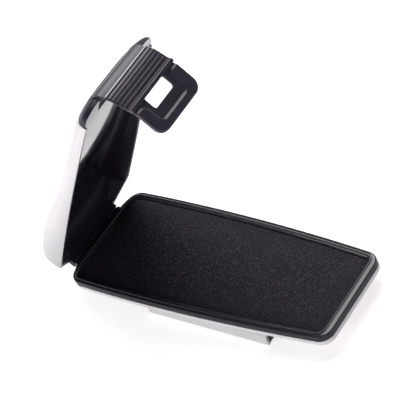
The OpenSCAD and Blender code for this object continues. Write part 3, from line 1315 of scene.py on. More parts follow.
    def pad_cover(self, finish: bpy.types.Material) -> bpy.types.Object:
        """The pad: a low-crowned cushion whose edge turns down into the pocket.

        The edge is a quarter ellipse, (edge * (1 - cos t), shoulder + round * sin t). From its
        end the crown rises by rise * (1 - exp(-d / reach)), as a thin foam-backed sheet does
        when it is glued down.

        Args:
            finish: its material.

        Returns:
            The finished piece.
        """
        floor = self.foam - self.pocket_depth
        profile = [self.pad_row(0.1, floor), self.pad_row(0.0, floor + 0.06)]
        for turn in np.linspace(0, math.pi / 2, 7):
            level = self.pad_shoulder + self.pad_round * math.sin(turn)
            profile.append(self.pad_row(self.pad_edge * (1 - math.cos(turn)), level))
        for run in (0.4, 0.9, self.pad_reach):
            rise = self.pad_rise * (1 - math.exp(-run / self.pad_reach))
            level = self.pad_shoulder + self.pad_round + rise
            profile.append(self.pad_row(self.pad_edge + run, level))
        shape = Shape().add_lidded(self.plan.rings(profile), 14, self.pad_middle)
        piece = shape.made("pad_cushion", Part.BASE)
        soften(piece, width=0, sharp=60)
        dress(piece, finish)
        return piece

    def pad_backing(self, finish: bpy.types.Material) -> bpy.types.Object:
        """The thin foam under the pad's cover.

        Args:
            finish: its material.

        Returns:
            The finished piece.
        """
        floor, top = -self.pocket_depth, self.foam - self.pocket_depth - 0.02
        rings = self.plan.rings([self.pad_row(0.0, floor), self.pad_row(0.0, top)])
        piece = Shape().add_tube(rings).made("pad_backing", Part.BASE)
        soften(piece, width=0.05, sharp=40)
        dress(piece, finish)
        return piece


# --------------------------------------------------------------------------- lid


@dataclass
class LidAssembly:
    """Silver dome, black liner and end cap of the lid, worked out closed.

    Args:
        plan: the case's plan.
        knuckles: the hinge's barrels.
        start: x of the lid's hinge end.
        shell_end: x at which the silver dome ends and the black cap starts.
        seam: air between dome and liner.
        low: height of the dome where it is shallow.
        swell: how far it swells above that at the deep end.
        swell_x: x up to which the swell is full.
        swell_l: length over which the swell dies away.
        fall_l: length of the rounded fall at the free end.
        fall_drop: share of the height that is lost there.
        fall_power: how late the fall starts.
        arch_n: power of the dome's arch; higher is squarer.
        hollow_n: power of the hollow's arch.
        end_n: power of the curve in which the dome turns down at the hinge end.
        end_l: length of that curve.
        cut_x: x at which the slanted hinge corner meets the side.
        cut_y: half width of the lid's straight hinge end.
        shell: thickness of the silver dome.
        liner: thickness of the liner's crown.
        notch: x and z up to which the dome is notched over the hinge.
        lift: x at which its rim starts to rise towards the hinge, and the height it reaches.
        shell_z: height of the dome's rim.
        liner_z: height of the liner's rim.
        rim: width of the liner's rim along the sides.
        flare_z: height below which the hollow widens towards the rim.
        flare_slope: how fast it widens.
        cap_rim: least width of the rim round the end cap.
        cap_back: how far the cap stays behind the base's free end.
        slot_x: x at which the latch's slot starts.
        slot_y: its half width.
        pin: x and z of the latch pin, and its radius.
        pin_room: air round the pin.
        crown_side: how far in from the rim the hollow's gloss crown starts.
        end_crowd: how closely the arches stand where the dome turns down.
        across: faces across the lid.
    """

    plan: CasePlan = field(default_factory=CasePlan)
    knuckles: Knuckles = field(default_factory=Knuckles)
    start: float = -1.17
    shell_end: float = 82.0
    seam: float = 0.05
    low: float = 4.55
    swell: float = 5.5
    swell_x: float = 14.0
    swell_l: float = 24.5
    fall_l: float = 11.0
    fall_drop: float = 0.9
    fall_power: float = 1.5
    arch_n: float = 3.5
    hollow_n: float = 8.0
    end_n: float = 2.8
    end_l: float = 10.9
    cut_x: float = 5.2
    cut_y: float = 11.0
    shell: float = 0.6
    liner: float = 1.45
    notch: Pair = (0.2, 2.5)
    lift: Pair = (7.5, 0.45)
    shell_z: float = 0.15
    liner_z: float = 0.5
    rim: float = 2.9
    flare_z: float = 1.9
    flare_slope: float = 1.35
    cap_rim: float = 0.8
    cap_back: float = 0.02
    slot_x: float = 82.95
    slot_y: float = 9.1
    pin: Triple = (85.2, 1.9, 0.5)
    pin_room: float = 0.03
    crown_side: float = 2.5
    end_crowd: float = 2.4
    across: int = 72

    def crown(self, x: np.ndarray) -> np.ndarray:
        """Height of the closed dome at x.

        A low level plus a swell that dies away as 1 / (1 + t^2) from the deep end, brought
        down towards the free end by a rounded fall.

        Args:
            x: places along the case.

        Returns:
            The heights.
        """
        x = np.asarray(x, float)
        t = np.clip((x - self.plan.length + self.fall_l) / self.fall_l, 0, 1)
        fall = 1 - self.fall_drop * (1 - np.sqrt(1 - t**self.fall_power))
        swell = self.swell / (1 + (np.maximum(0, x - self.swell_x) / self.swell_l) ** 2)
        return self.liner_z + (self.low - self.liner_z + swell) * fall

    def half(self, x: np.ndarray, inset: float) -> np.ndarray:
        """Half width at x, with the hinge corners cut off on a slant.

        Args:
            x: places along the case.
            inset: how far the outline is drawn in.

        Returns:
            The lesser of the plan's half width and the slant's, each drawn in.
        """
        slope = (float(self.plan.half_width(self.cut_x)) - self.cut_y) / (self.cut_x - self.start)
        slant = self.cut_y + slope * (x - self.start) - inset * math.hypot(1, slope)
        return np.minimum(self.plan.half_width(x) - inset, slant)

    def end_curve(self, d: np.ndarray) -> np.ndarray:
        """How far the dome has risen at distance d from its hinge end: a superellipse."""
        t = np.maximum(0, 1 - d / self.end_l)
        return np.maximum(0, 1 - t**self.end_n) ** (1 / self.end_n)

    def arches(
        self, x: np.ndarray, half: np.ndarray, base: float, top: np.ndarray, power: float
    ) -> np.ndarray:
        """Superellipse arches across the lid: (y / half)^power + ((z - base) / rise)^power = 1.

        Args:
            x: place of each arch.
            half: half width of each.
            base: height of their feet.
            top: height of each arch's middle.
            power: the superellipse's power.

        Returns:
            A grid of arches by points by 3, from the near rim to the far rim.
        """
        angle = np.linspace(0, math.pi, self.across + 1)
        cos, sin = np.cos(angle), np.sin(angle)
        reach = -np.sign(cos) * np.abs(cos) ** (2 / power)
        rise = np.maximum(0, sin) ** (2 / power)
        y = half[:, None] * reach[None]
        z = base + (top - base)[:, None] * rise[None]
        return np.stack([np.broadcast_to(x[:, None], y.shape), y, z], axis=-1)

    def stations(self, end: float) -> np.ndarray:
        """Distances from the hinge end, close together where the dome turns down."""
        first = self.end_l * np.linspace(0, 1, 30) ** self.end_crowd
        return np.concatenate([first, np.linspace(self.end_l, end - self.start, 76)[1:]])

    def dome(self, side: float, top: float, power: float) -> np.ndarray:
        """Grid of the dome from the hinge end to the seam.

        Args:
            side: how far it is drawn in at its rim.
            top: how far it is lowered at its crown.
            power: power of its arches.

        Returns:
            A grid of arches by points by 3.
        """
        d = self.stations(self.shell_end)
        x = self.start + d + side * np.maximum(0, 1 - d / self.end_l)
        height = self.shell_z + (self.crown(x) - top - self.shell_z) * self.end_curve(d)
        return self.arches(x, self.half(x, side), self.shell_z, height, power)

    def shell_dome(self, finish: bpy.types.Material) -> bpy.types.Object:
        """The silver dome, with a notch over the hinge and its hinge end cut back on a slant.

        Args:
            finish: its material.

        Returns:
            The finished piece.
        """
        outer = self.dome(0, 0, self.arch_n)
        inner = self.dome(self.shell, self.shell, self.arch_n)
        piece = Shape().add_wall(outer, inner).made("lid_dome", Part.LID)
        width, (notch_x, notch_z) = self.cut_y + self.knuckles.gap, self.notch
        notch = box_shape((-3, -width, -1), (notch_x, width, notch_z)).made("notch", Part.LID)
        lift_x, lift_z = self.lift
        slant = [(lift_x, self.shell_z), (self.cut_x, lift_z)]
        wedge = np.array([(-5, -5), (lift_x, -5), *slant, (-5, lift_z)])
        lift = prism_shape(wedge, -30, 30, 0.0).made("lift", Part.LID)
        combine(piece, [notch, lift], Join.CUT)
        soften(piece, width=0.12, sharp=40)
        dress(piece, finish)
        return piece

    def cap_half(self, x: np.ndarray) -> np.ndarray:
        """Half width of the end cap, whose corners are rounded in plan."""
        r = self.plan.free_r
        u = np.maximum(0, x - self.plan.length + r)
        return self.plan.half_width(x) - r + np.sqrt(np.maximum(0, r * r - u * u))

    def liner_grids(self) -> tuple[np.ndarray, np.ndarray]:
        """Outer and inner grids of liner and cap.

        The outer grid steps out at the seam to lie flush with the dome. The inner grid is the
        hollow, which widens towards its rim by slope * (flare_z - z), and beyond its end wall
        it lies flat in the plane of the rim.

        Returns:
            Both grids, of arches by points by 3.
        """
        gap = self.shell + self.seam
        seam_x = self.shell_end + self.seam
        outer = self.dome(gap, gap, self.arch_n)
        inner = self.dome(self.rim, gap + self.liner, self.hollow_n)
        rows = len(outer)
        closing = np.linspace(1, 0, 26) ** 2
        end = self.plan.length - self.cap_back - (self.plan.length - seam_x) * closing
        cap_x = np.concatenate([[seam_x], end[1:]])
        half, level = self.cap_half(cap_x), np.full(len(cap_x), self.liner_z)
        under = np.minimum(half - self.cap_rim, self.half(cap_x, self.rim))
        cap = self.arches(cap_x, half, self.shell_z, self.crown(cap_x), self.arch_n)
        flat = self.arches(cap_x, under, self.liner_z, level, self.arch_n)
        outer, inner = np.vstack([outer, cap]), np.vstack([inner, flat])
        outer[..., 2] = np.maximum(outer[..., 2], self.liner_z)
        inner[..., 2] = np.maximum(inner[..., 2], self.liner_z)
        flare = np.maximum(0, self.flare_z - inner[:rows, :, 2]) * self.flare_slope
        inner[:rows, :, 1] *= 1 + flare / np.abs(inner[:rows, :1, 1])
        return outer, inner

    def hinge_strip(self) -> list[bpy.types.Object]:
        """The strip that closes the gap over the barrels, and the lid's own barrels.

        Returns:
            The strip and the barrels, to be added to the liner.
        """
        top = [(-2.77, -2.3, 0.0), (-2.62, 0.6, 0.4), (-1.3, 2.2, 0.5), (0.8, 2.2, 0.0)]
        under = [(0.8, 0.7, 0.0), (-0.35, 0.4, 0.2), (-0.35, -2.3, 0.0)]
        outline, gap, axis = rounded(top + under), self.knuckles.gap, PLACING.hinge_z
        strip = prism_shape(outline, -self.cut_y, self.cut_y, 0.06).made("strip", Part.LID)
        cuts = []
        for y0, y1 in self.knuckles.base:
            cuts.append(self.knuckles.clearance((y0, y1), self.knuckles.lid_room, Part.LID))
            room = box_shape((-4, y0 - gap, axis - 3), (1, y1 + gap, axis))
            cuts.append(room.made("room", Part.LID))
        combine(strip, cuts, Join.CUT)
        return [strip, *(self.knuckles.barrel(span, Part.LID) for span in self.knuckles.lid)]

    def satin_faces(self, piece: bpy.types.Object) -> np.ndarray:
        """Picks the liner's satin faces: all but the flat crown of the hollow.

        Args:
            piece: the liner.

        Returns:
            True for each face of the side walls, the end cap or the hinge end.
        """
        along, across, above = closed_centres(piece).T
        side = np.abs(across) > self.half(along, self.rim + self.crown_side)
        wall = side & (along < self.shell_end - 1)
        cap = (along > self.shell_end) & (above > self.liner_z + 0.1)
        return wall | cap | (along < self.end_l)

    def liner_moulding(
        self, finish: bpy.types.Material, satin: bpy.types.Material
    ) -> bpy.types.Object:
        """The black liner: rim, hollow, end cap with the latch's slot, and hinge strip.

        Args:
            finish: the gloss material of the hollow's crown.
            satin: the material of the rest.

        Returns:
            The finished piece.
        """
        outer, inner = self.liner_grids()
        piece = Shape().add_wall(outer, inner).made("lid_liner_moulding", Part.LID)
        x, z, radius = self.pin
        radius += self.pin_room
        slot = box_shape((self.slot_x, -self.slot_y, -1), (93, self.slot_y, 12))
        bore = bar_shape(x, z, [(-12.25, radius), (20, radius)], 24)
        combine(piece, [slot.made("slot", Part.LID), bore.made("bore", Part.LID)], Join.CUT)
        combine(piece, self.hinge_strip(), Join.ADD)
        soften(piece, width=0.16, sharp=38)
        dress(piece, finish, satin)
        second = self.satin_faces(piece).astype(np.int32)
        piece.data.polygons.foreach_set("material_index", second)
        return piece


# --------------------------------------------------------------------------- latch


@dataclass
class LatchMoulding:
    """The latch: cover, ribbed grip, catch lip and pull ring in one black moulding.

    Args:
        pivot: x and z of the latch pin.
        barrel: radius of the lever round the pin.
        width: width of cover and grip.
        side_edge: radius of their side edges.
        grip_z: top and foot of the grip's face.
        grip_x: x of the grip's face at its top, and how far it swells from there.
        grip_rate: degrees of the swell's sine per millimetre.
        grip_flat: height below which the grip's face runs straight.
        grooves: number of grooves.
        groove_r: their radius.
        groove_out: how far their centres lie outside the face.
        groove_z: height of the first one's centre.
        pitch: distance between two grooves.
        lip_width: width of the catch lip.
        lip_edge: radius of its side edges.
        ring_at: x and z of the ring's origin under the grip.
        lean: how far the ring leans out, in degrees.
        ring_top: where the ring starts, along its own axis.
        ring_l: its length.
        ring_w: its width.
        pocket_half: half width of the ring's sunk middle.
        pocket_end: how far that ends before the ring does.
        pocket_r: radius of its corners.
        strip_end: where the flat strip under the grip ends.
        join: length over which band and strip run into each other.
        sink: how far the sunk middle lies below the ring's plane.
        slope: half width of the band's slopes.
        band_h: how far the band stands above the ring's plane.
        front: thickness of the ring in front of its middle plane.
        back: thickness behind it.
        window: near and far end and width of the ring's window.
        loop: points round the ring.
        painted_highlight: the strip of the grip's top edge painted pale grey as a highlight, by the
            x
        beyond which it lies, its middle height, half its height and half its width.
    """

    pivot: Pair = (85.2, 1.9)
    barrel: float = 1.25
    width: float = 17.8
    side_edge: float = 0.14
    grip_z: Pair = (-0.4, -7.3)
    grip_x: Pair = (90.15, 1.12)
    grip_rate: float = 29
    grip_flat: float = -3.5
    grooves: int = 6
    groove_r: float = 0.34
    groove_out: float = 0.06
    groove_z: float = -1.15
    pitch: float = 1.12
    lip_width: float = 12.0
    lip_edge: float = 0.12
    ring_at: Pair = (91.15, -8.85)
    lean: float = 17.5
    ring_top: float = -1.1
    ring_l: float = 9.9
    ring_w: float = 17.4
    pocket_half: float = 5.6
    pocket_end: float = 2.3
    pocket_r: float = 1.5
    strip_end: float = 0.5
    join: float = 2.0
    sink: float = 0.15
    slope: float = 0.5
    band_h: float = 0.45
    front: float = 0.55
    back: float = 0.6
    window: Triple = (-0.25, 3.4, 8.0)
    loop: int = 220
    # pale grey strip along the grip's top edge: a painted highlight in place of the lamp's glint
    painted_highlight: tuple[float, float, float, float] = (89.8, -0.52, 0.22, 8.8)

    def grip(self, z: np.ndarray) -> np.ndarray:
        """Outer face of the grip: x + swell * sin(rate * (top - z)), a quarter sine to a flat.

        Args:
            z: heights on the grip.

        Returns:
            The face's x there.
        """
        x, swell = self.grip_x
        phase = np.radians(np.minimum(90, (self.grip_z[0] - z) * self.grip_rate))
        return np.where(z > self.grip_flat, x + swell * np.sin(phase), x + swell)

    def grooved(self) -> np.ndarray:
        """The grip's outer face with round grooves sunk into it and their lips eased.

        A groove is the circle x = face + out - sqrt(r^2 - (z - centre)^2), and the lips are
        eased by a short Hann window.

        Returns:
            The face's x and z, from the top down.
        """
        z = np.linspace(*self.grip_z, 260)
        centre = self.groove_z - self.pitch * np.arange(self.grooves)
        reach = np.maximum(0, self.groove_r**2 - (z[:, None] - centre[None]) ** 2)
        circle = self.grip(centre)[None] + self.groove_out - np.sqrt(reach)
        x = np.minimum(self.grip(z), np.where(reach > 0, circle, np.inf).min(axis=1))
        kernel = np.hanning(7)[1:-1]
        padded = np.pad(x, 2, mode="edge")
        return np.column_stack([np.convolve(padded, kernel / kernel.sum(), "valid"), z])

    def lever_outline(self) -> np.ndarray:
        """Side view of the lever, from the barrel over the cover, down the grip and back inside.

        Returns:
            The outline's x and z.
        """
        turn = np.radians(np.linspace(90, 200, 12))
        circle = np.column_stack([np.cos(turn), np.sin(turn)])
        barrel = np.array(self.pivot) + self.barrel * circle
        cover_x = [85.9, 86.5, 87.1, 87.6, 88.1, 88.5, 88.85, 89.15, 89.36, 89.5, 89.56]
        cover_z = [3.14, 3.05, 2.86, 2.6, 2.28, 1.9, 1.48, 1.0, 0.5, 0.05, -0.25]
        valley = fillet((89.5, 0.05), (89.6, -0.4), (90.2, -0.36), 0.08, 4)
        brow = fillet((89.6, -0.4), (90.16, -0.36), (90.45, -1.0), 0.24, 8)
        grip = self.grooved()
        bump = fillet((91.27, -7.1), (91.8, -7.75), (91.75, -8.5), 0.35, 5)
        inner_x = [91.6, 90.6, 90.3, 90.3, 90.1, 89.85, 89.35, 88.9, 88.3, 87.4, 86.6, 85.9]
        inner_z = [-8.6, -8.5, -7, -5, -3.4, -2.2, -1, 0, 1, 1.6, 1.7, 0.9]
        return np.vstack(
            [
                barrel[::-1],
                np.column_stack([cover_x, cover_z]),
                valley,
                brow,
                grip[grip[:, 1] < -0.72],
                bump,
                np.column_stack([inner_x, inner_z]),
                [[85.2, 0.65], [84.6, 0.8]],
            ]
        )

    def ring_outline(
        self, low: float, high: float, half: float, near_r: float, far_r: float
    ) -> np.ndarray:
        """A rounded rectangle on the ring's own axes, evenly divided from its near top on.

        Args:
            low: where it starts down the ring.
            high: where it ends.
            half: its half width.
            near_r: radius of its first two corners.
            far_r: radius of the other two.

        Returns:
            The outline's places down and across the ring.
        """
        near_side = [(low, -half, near_r), (high, -half, far_r)]
        far_side = [(high, half, far_r), (low, half, near_r)]
        return resampled(rounded(near_side + far_side, 10), self.loop)

    def relief(self, u: np.ndarray, v: np.ndarray) -> np.ndarray:
        """Height of the ring's face, with a raised band round three sides of a pocket.

        The distance to the pocket, a rectangle with round corners, and the distance below the
        strip under the grip are joined by a smooth minimum, so that the band's arms end in
        curves. The height follows from it by a soft step.

        Args:
            u: distances down the ring.
            v: distances across it.

        Returns:
            The heights.
        """
        side = np.abs(v) - self.pocket_half + self.pocket_r
        low = u - (self.ring_top + self.ring_l - self.pocket_end) + self.pocket_r
        corner = np.hypot(np.maximum(side, 0), np.maximum(low, 0))
        pocket = corner + np.minimum(np.maximum(side, low), 0) - self.pocket_r
        strip = u - self.strip_end
        share = np.clip(0.5 + 0.5 * (strip - pocket) / self.join, 0, 1)
        both = strip * (1 - share) + pocket * share - self.join * share * (1 - share)
        return (self.band_h + self.sink) * smoothstep(-self.slope, self.slope, both) - self.sink

    def ring_rings(self) -> np.ndarray:
        """The pull ring as loops that run from its window, over its face, round and back.

        The face's loops blend from the window's outline to the rim's, and lie on the relief.

        Returns:
            An array of loops by points by 3, on the ring's own axes.
        """
        start, end, width = self.window
        bottom, half = -self.front - self.back, self.ring_w / 2

        def window(by: float) -> np.ndarray:
            """The window's outline opened out by the given distance."""
            return self.ring_outline(start - by, end + by, width / 2 + by, 0.5 + by, 0.7 + by)

        def rim(by: float) -> np.ndarray:
            """The ring's outline drawn in by the given distance."""
            far = self.ring_top + self.ring_l - by
            return self.ring_outline(self.ring_top, far, half - by, 0.5, 2.9 - by)

        def lifted(outline: np.ndarray, sink: float) -> np.ndarray:
            """An outline laid on the relief, or below it by the given depth."""
            return np.column_stack([outline, self.relief(outline[:, 0], outline[:, 1]) - sink])

        def flat(outline: np.ndarray, level: float) -> np.ndarray:
            """An outline at one level."""
            return np.column_stack([outline, np.full(self.loop, level)])

        first, last = window(0.26), rim(0.34)
        face = [lifted(first + (last - first) * t, 0.0) for t in np.linspace(0, 1, 30)]
        window_edge = [(0.0, 0.2), (0.04, 0.09), (0.13, 0.02)]
        rim_edge = [(0.2, 0.05), (0.09, 0.13), (0.02, 0.26)]
        rim_side = [(0.0, -self.front - 0.1), (0.08, -self.front - 0.25)]
        rim_back = [(0.3, bottom + 0.2), (0.55, bottom + 0.07), (0.85, bottom)]
        window_back = [(0.3, bottom), (0.08, bottom + 0.08)]
        return np.stack(
            [
                flat(window(0.0), -0.9),
                *(lifted(window(by), sink) for by, sink in window_edge),
                *face,
                *(lifted(rim(by), sink) for by, sink in rim_edge),
                *(flat(rim(by), level) for by, level in rim_side + rim_back),
                *(flat(window(by), level) for by, level in window_back),
            ]
        )

    def ring_placed(self) -> np.ndarray:
        """The ring's loops leant over and hung from the grip's foot.

        Returns:
            The loops in case coordinates.
        """
        local = self.ring_rings()
        lean = math.radians(90 + self.lean)
        u, v, w = local[..., 0], local[..., 1], local[..., 2]
        x = self.ring_at[0] + u * math.cos(lean) + w * math.sin(lean)
        z = self.ring_at[1] - u * math.sin(lean) + w * math.cos(lean)
        return np.stack([x, v, z], axis=-1)

    def painted_highlight_faces(self, piece: bpy.types.Object) -> np.ndarray:
        """Picks the faces of the grip's top edge that carry a painted highlight, a pale grey strip.

        Args:
            piece: the latch.

        Returns:
            True for each of those faces.
        """
        beyond, height, half_height, half_width = self.painted_highlight
        along, across, above = closed_centres(piece).T
        edge = (along > beyond) & (np.abs(above - height) < half_height)
        return edge & (np.abs(across) < half_width)

    def moulding(self, finish: bpy.types.Material, bright: bpy.types.Material) -> bpy.types.Object:
        """The whole latch as one piece, with a painted highlight along the grip's top edge.

        Args:
            finish: its material.
            bright: the pale grey material of the painted highlight on that edge.

        Returns:
            The finished piece.
        """
        half, lip_half = self.width / 2, self.lip_width / 2
        lever = prism_shape(self.lever_outline(), -half, half, self.side_edge)
        tip = [(90.2, -3.3, 0.1), (88.35, -3.55, 0.15), (88.45, -3.95, 0.15)]
        root = [(90.4, -5.0, 0.1), (90.7, -4, 0.1)]
        lip = prism_shape(rounded(tip + root, steps=4), -lip_half, lip_half, self.lip_edge)
        piece = Shape().add_ring(self.ring_placed()).made("latch_moulding", Part.LATCH)
        added = [lever.made("lever", Part.LATCH), lip.made("lip", Part.LATCH)]
        combine(piece, added, Join.ADD)
        soften(piece, width=0, sharp=40)
        dress(piece, finish, bright)
        # the grip's top edge gets the pale grey painted highlight
        second = self.painted_highlight_faces(piece).astype(np.int32)
        piece.data.polygons.foreach_set("material_index", second)
        return piece


# --------------------------------------------------------------------------- studio


def facing(place: Sequence[float], back: np.ndarray, roll: float) -> list[list[float]]:
    """Matrix of something that looks along minus back, rolled about that line.

    Its columns are right = z x back and up = back x right, both turned by the roll, then back
    and the place.

    Args:
        place: where it stands.
        back: the way from what it looks at to itself.
        roll: its roll in degrees.

    Returns:
        The matrix as four rows.
    """
    back = back / np.linalg.norm(back)
    right = np.cross([0.0, 0.0, 1.0], back)
    right /= np.linalg.norm(right)
    up = np.cross(back, right)
    turn = math.radians(roll)
    x = math.cos(turn) * right + math.sin(turn) * up
    y = -math.sin(turn) * right + math.cos(turn) * up
    columns = np.column_stack([x, y, back, np.asarray(place, float)])
    return np.vstack([columns, [0, 0, 0, 1]]).tolist()


@dataclass(frozen=True)
class Lamp:
    """A soft square light that looks at the case.

    Args:
        name: the light's name.
        place: where it hangs, in metres.
        size: its side, in metres.
        power: its power in watts.
        mirrored: whether gloss surfaces mirror it.
    """

    name: str
    place: Triple
    size: float
    power: float
    mirrored: bool = True

    def light(self, target: Sequence[float]) -> None:
        """Hangs the lamp and turns it to the target.

        Args:
            target: the point that it looks at.
        """
        data = bpy.data.lights.new(self.name, "AREA")
        data.shape = "SQUARE"
        data.size = self.size
        data.energy = self.power
        lamp = bpy.data.objects.new(self.name, data)
        back = np.array(self.place) - np.array(target)
        lamp.matrix_world = Matrix(facing(self.place, back, 0.0))
        lamp.visible_glossy = self.mirrored
        bpy.context.scene.collection.objects.link(lamp)


@dataclass(frozen=True)
class Spread:
    """A value that changes with the distance from the case, from one distance to another.

    Args:
        near: the distance in metres up to which it has its first value.
        far: the distance from which it has its last.
        first: the value near the case.
        last: the value away from it.
        ease: how it runs between them, by the Map Range node's name.
    """

    near: float
    far: float
    first: float
    last: float
    ease: str = "LINEAR"

    def over(self, shader: Shader, distance: Signal) -> Signal:
        """The value at a distance that the shader works out."""
        inputs = {"Value": distance, 1: self.near, 2: self.far, 3: self.first, 4: self.last}
        return shader.node("ShaderNodeMapRange", {"interpolation_type": self.ease}, inputs)


UPPER_SKY = (0.125, 0.12, 0.15)


@dataclass
class Studio:
    """Camera, floor, surroundings and lamps.

    Args:
        azimuth: the camera's angle round the case, in degrees.
        elevation: its angle above the rim plane.
        roll: its roll.
        distance: its distance from the case's centre, in millimetres.
        lens: focal length in millimetres.
        sensor: width of the sensor in millimetres.
        centre: the case's centre, in case coordinates.
        shift: how far the camera is moved sideways and up, in millimetres.
        reach: half the floor's side, in metres.
        drop: how far the floor lies below the case, in metres.
        floor_grey: the floor's colour.
        floor_glow: colour of the light that the floor shows.
        seen_glow: how bright the camera sees the floor glow.
        mirrored_glow: how bright gloss surfaces mirror it.
        sky: the sky's colours by height, from the horizon (0) to the top (1); a number is a grey.
        lamps: the lamps.
    """

    azimuth: float = 55.085
    elevation: float = 39.741
    roll: float = -30.035
    distance: float = 468.934
    lens: float = 162.0
    sensor: float = 36.0
    centre: Triple = (44.0, 0.0, 15.714)
    shift: Pair = (-0.8852, -6.3626)
    reach: float = 6.0
    drop: float = 0.0002
    floor_grey: Triple = (0.82, 0.82, 0.82)
    floor_glow: Triple = (1, 0.965, 0.955)
    seen_glow: Spread = Spread(0.2, 0.8, 0.66, 1.0)
    mirrored_glow: Spread = Spread(0.04, 0.13, 0.05, 0.9, "SMOOTHSTEP")
    sky: tuple[tuple[float, Any], ...] = (
        (0.0, 1.0),
        (0.06, 0.95),
        (0.2, 0.4),
        (0.36, UPPER_SKY),
        (1.0, UPPER_SKY),
    )
    lamps: tuple[Lamp, ...] = (
        Lamp("overhead_light", (-0.36, 0.42, 0.82), 0.75, 9.5),
        Lamp("low_light", (-0.05, -0.62, 0.14), 0.3, 2.4, False),
    )

    def camera(self) -> None:
        """Sets the camera at the photographed angle, aimed off the case's centre by the shift."""
        a, e = math.radians(self.azimuth), math.radians(self.elevation)
        back = np.array([math.sin(a) * math.cos(e), -math.cos(a) * math.cos(e), math.sin(e)])
        turned = np.array(facing((0, 0, 0), back, self.roll))[:3, :3]
        offset = turned @ np.array([-self.shift[0], -self.shift[1], self.distance])
        place = PLACING.place(np.array(self.centre) + offset, Part.BASE)
        data = bpy.data.cameras.new("camera")
        data.lens = self.lens
        data.sensor_width = self.sensor
        data.clip_start, data.clip_end = 0.01, 20.0
        camera = bpy.data.objects.new("camera", data)
        camera.matrix_world = Matrix(facing(place, back, self.roll))
        bpy.context.scene.collection.objects.link(camera)
        bpy.context.scene.camera = camera

    def floor(self) -> None:
        """Lays a pale floor that shows white to the camera and to mirrors, and keeps the shadow.

        Its glow is seen * seen_glow + mirrored * mirrored_glow, so that it lights nothing.
        """
        r, z = self.reach, -self.drop
        corners = [(-r, -r, z), (r, -r, z), (r, r, z), (-r, r, z)]
        mesh = bpy.data.meshes.new("floor")
        mesh.from_pydata(corners, [], [(0, 1, 2, 3)])
        floor = bpy.data.objects.new("floor", mesh)
        bpy.context.scene.collection.objects.link(floor)
        floor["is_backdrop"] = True
        shader = Shader("pale_floor")
        shader.set(Base_Color=self.floor_grey, Roughness=0.9, Specular_IOR_Level=0.0)
        seen = shader.node("ShaderNodeLightPath", output="Is Camera Ray")
        mirrored = seen.beside("Is Glossy Ray") + seen.beside("Is Transmission Ray")
        length = {"operation": "LENGTH"}
        away = shader.node("ShaderNodeVectorMath", length, {0: shader.place}, "Value")
        direct = seen * self.seen_glow.over(shader, away)
        glow = direct + mirrored * self.mirrored_glow.over(shader, away)
        light = {"Color": self.floor_glow, "Strength": glow}
        lit = shader.node("ShaderNodeEmission", {}, light)
        both = shader.node("ShaderNodeAddShader", {}, {0: shader.main, 1: lit})
        shader.feed(shader.end.node.inputs["Surface"], both)
        mesh.materials.append(shader.material)

    def surroundings(self) -> None:
        """Makes soft light from all round, which the camera sees as white.

        Everything else sees the sky's colours by height, pale at the horizon and dim above.
        """
        world = bpy.data.worlds.new("studio")
        bpy.context.scene.world = world
        world.use_nodes = True
        book = NodeBook(world.node_tree)
        heading = book.node("ShaderNodeTexCoord", output="Generated")
        height = book.node("ShaderNodeSeparateXYZ", {}, {0: heading}, "Z")
        band = book.node("ShaderNodeValToRGB", {"stops": self.sky}, {"Fac": height})
        studio = book.node("ShaderNodeBackground", {}, {"Color": band})
        white = book.node("ShaderNodeBackground", {}, {"Color": (1, 1, 1)})
        seen = book.node("ShaderNodeLightPath", output="Is Camera Ray")
        mixed = book.node("ShaderNodeMixShader", {}, {0: seen, 1: studio, 2: white})
        book.node("ShaderNodeOutputWorld", {}, {"Surface": mixed})

    def build(self) -> None:
        """Sets the whole stage."""
        bpy.context.scene.view_settings.view_transform = "Standard"
        self.camera()
        self.floor()
        self.surroundings()
        low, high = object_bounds()
        target = [(low[k] + high[k]) / 2 for k in range(3)]
        for lamp in self.lamps:
            lamp.light(target)


# --------------------------------------------------------------------------- assembly


TRAY_BLACK = MouldedBlack("tray_gloss_black")
LINER_BLACK = MouldedBlack(
    "liner_gloss_black",
    colour=(0.015, 0.013, 0.023),
    roughness=0.1,
    haze=0.04,
    ripple=0.001,
    ior=1.65,
    coat=1.0,
)
RIM_BLACK = MouldedBlack("rim_satin_black", (0.014, 0.012, 0.021), roughness=0.42, ior=1.25)
LATCH_BLACK = MouldedBlack("latch_black", (0.028, 0.024, 0.036), roughness=0.36, haze=0.05)
# pale grey painted highlight for the grip's top edge, in place of the lamp's glint
PAINTED_HIGHLIGHT_GREY = MouldedBlack("latch_painted_highlight", (0.3, 0.3, 0.34), roughness=0.22, haze=0.04)
CASE_SILVER = SatinSilver("case_silver", (0.6, 0.59, 0.605), roughness=0.4)
SKIN_SILVER = SatinSilver("skin_silver", (0.88, 0.86, 0.87), roughness=0.5, metallic=0.25)
PAD_CHARCOAL = SpeckledPad("pad_charcoal")
PAD_FOAM = BackingFoam("pad_foam_grey")
CHANNEL_STEEL = PlainMetal("channel_plating", (0.8, 0.8, 0.8), metallic=0.15, roughness=0.5)
MAGNET_FERRITE = PlainMetal(
    "magnet_ferrite",
    (0.09, 0.09, 0.095),
    metallic=0.2,
    roughness=0.6,
    grit=0.012,
    spread=0.35,
)
PIN_STEEL = PlainMetal("pin_steel")


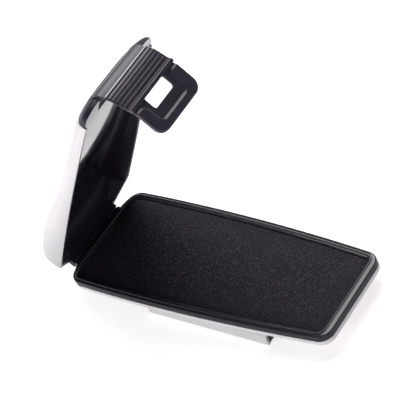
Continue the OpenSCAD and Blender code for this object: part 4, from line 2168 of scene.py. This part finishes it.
def dress_solid(node: bpy.types.Object, finish: bpy.types.Material) -> None:
    """Gives a carried-over solid its finish and reports it.

    Args:
        node: the solid's object.
        finish: its material.
    """
    dress(node, finish)
    LOG.info("%s keeps its solid, in %s", node.name, finish.name)


def seat(piece: bpy.types.Object, body: Part, slot: str, *nodes: str) -> None:
    """Lets a piece ride on its body in place of the solids it stands for, and reports it.

    Args:
        piece: the finished piece.
        body: the body that carries it.
        slot: the record's material slot; not used.
        nodes: the solids that it stands for.
    """
    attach(piece, body.value)
    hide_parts(*nodes)
    faces = len(piece.data.polygons)
    LOG.info("%s rides on %s for %s: %d faces", piece.name, body.value, ", ".join(nodes), faces)


def clear_scene() -> None:
    """Empties Blender's opening scene."""
    for thing in list(bpy.data.objects):
        bpy.data.objects.remove(thing)


def main() -> None:
    """Loads the frame, builds and dresses each assembly, and sets the studio."""
    logging.basicConfig(level=logging.INFO, format="%(message)s")
    clear_scene()
    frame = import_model()
    nodes = frame["nodes"]

    base = BaseAssembly()
    seat(base.tray(TRAY_BLACK.make()), Part.BASE, "black_plastic", "base_tray")
    seat(base.skin_sheet(SKIN_SILVER.make()), Part.BASE, "silver_metal", "base_skin")
    pad = base.pad_cover(PAD_CHARCOAL.make())
    seat(pad, Part.BASE, "pad", "pad_cover")
    seat(base.pad_backing(PAD_FOAM.make()), Part.BASE, "foam", "pad_foam")

    lid = LidAssembly()
    seat(lid.shell_dome(CASE_SILVER.make()), Part.LID, "silver_metal", "lid_shell")
    liner = lid.liner_moulding(LINER_BLACK.make(), RIM_BLACK.make())
    seat(liner, Part.LID, "black_plastic", "lid_liner")

    latch = LatchMoulding().moulding(LATCH_BLACK.make(), PAINTED_HIGHLIGHT_GREY.make())
    seat(latch, Part.LATCH, "latch_plastic", "latch")

    dress_solid(nodes["magnet_channel"], CHANNEL_STEEL.make())
    dress_solid(nodes["magnet_block"], MAGNET_FERRITE.make())
    steel = PIN_STEEL.make()
    for name in ("magnet_rivets", "hinge_pin", "latch_pin"):
        dress_solid(nodes[name], steel)

    Studio().build()


if __name__ == "__main__":
    main()
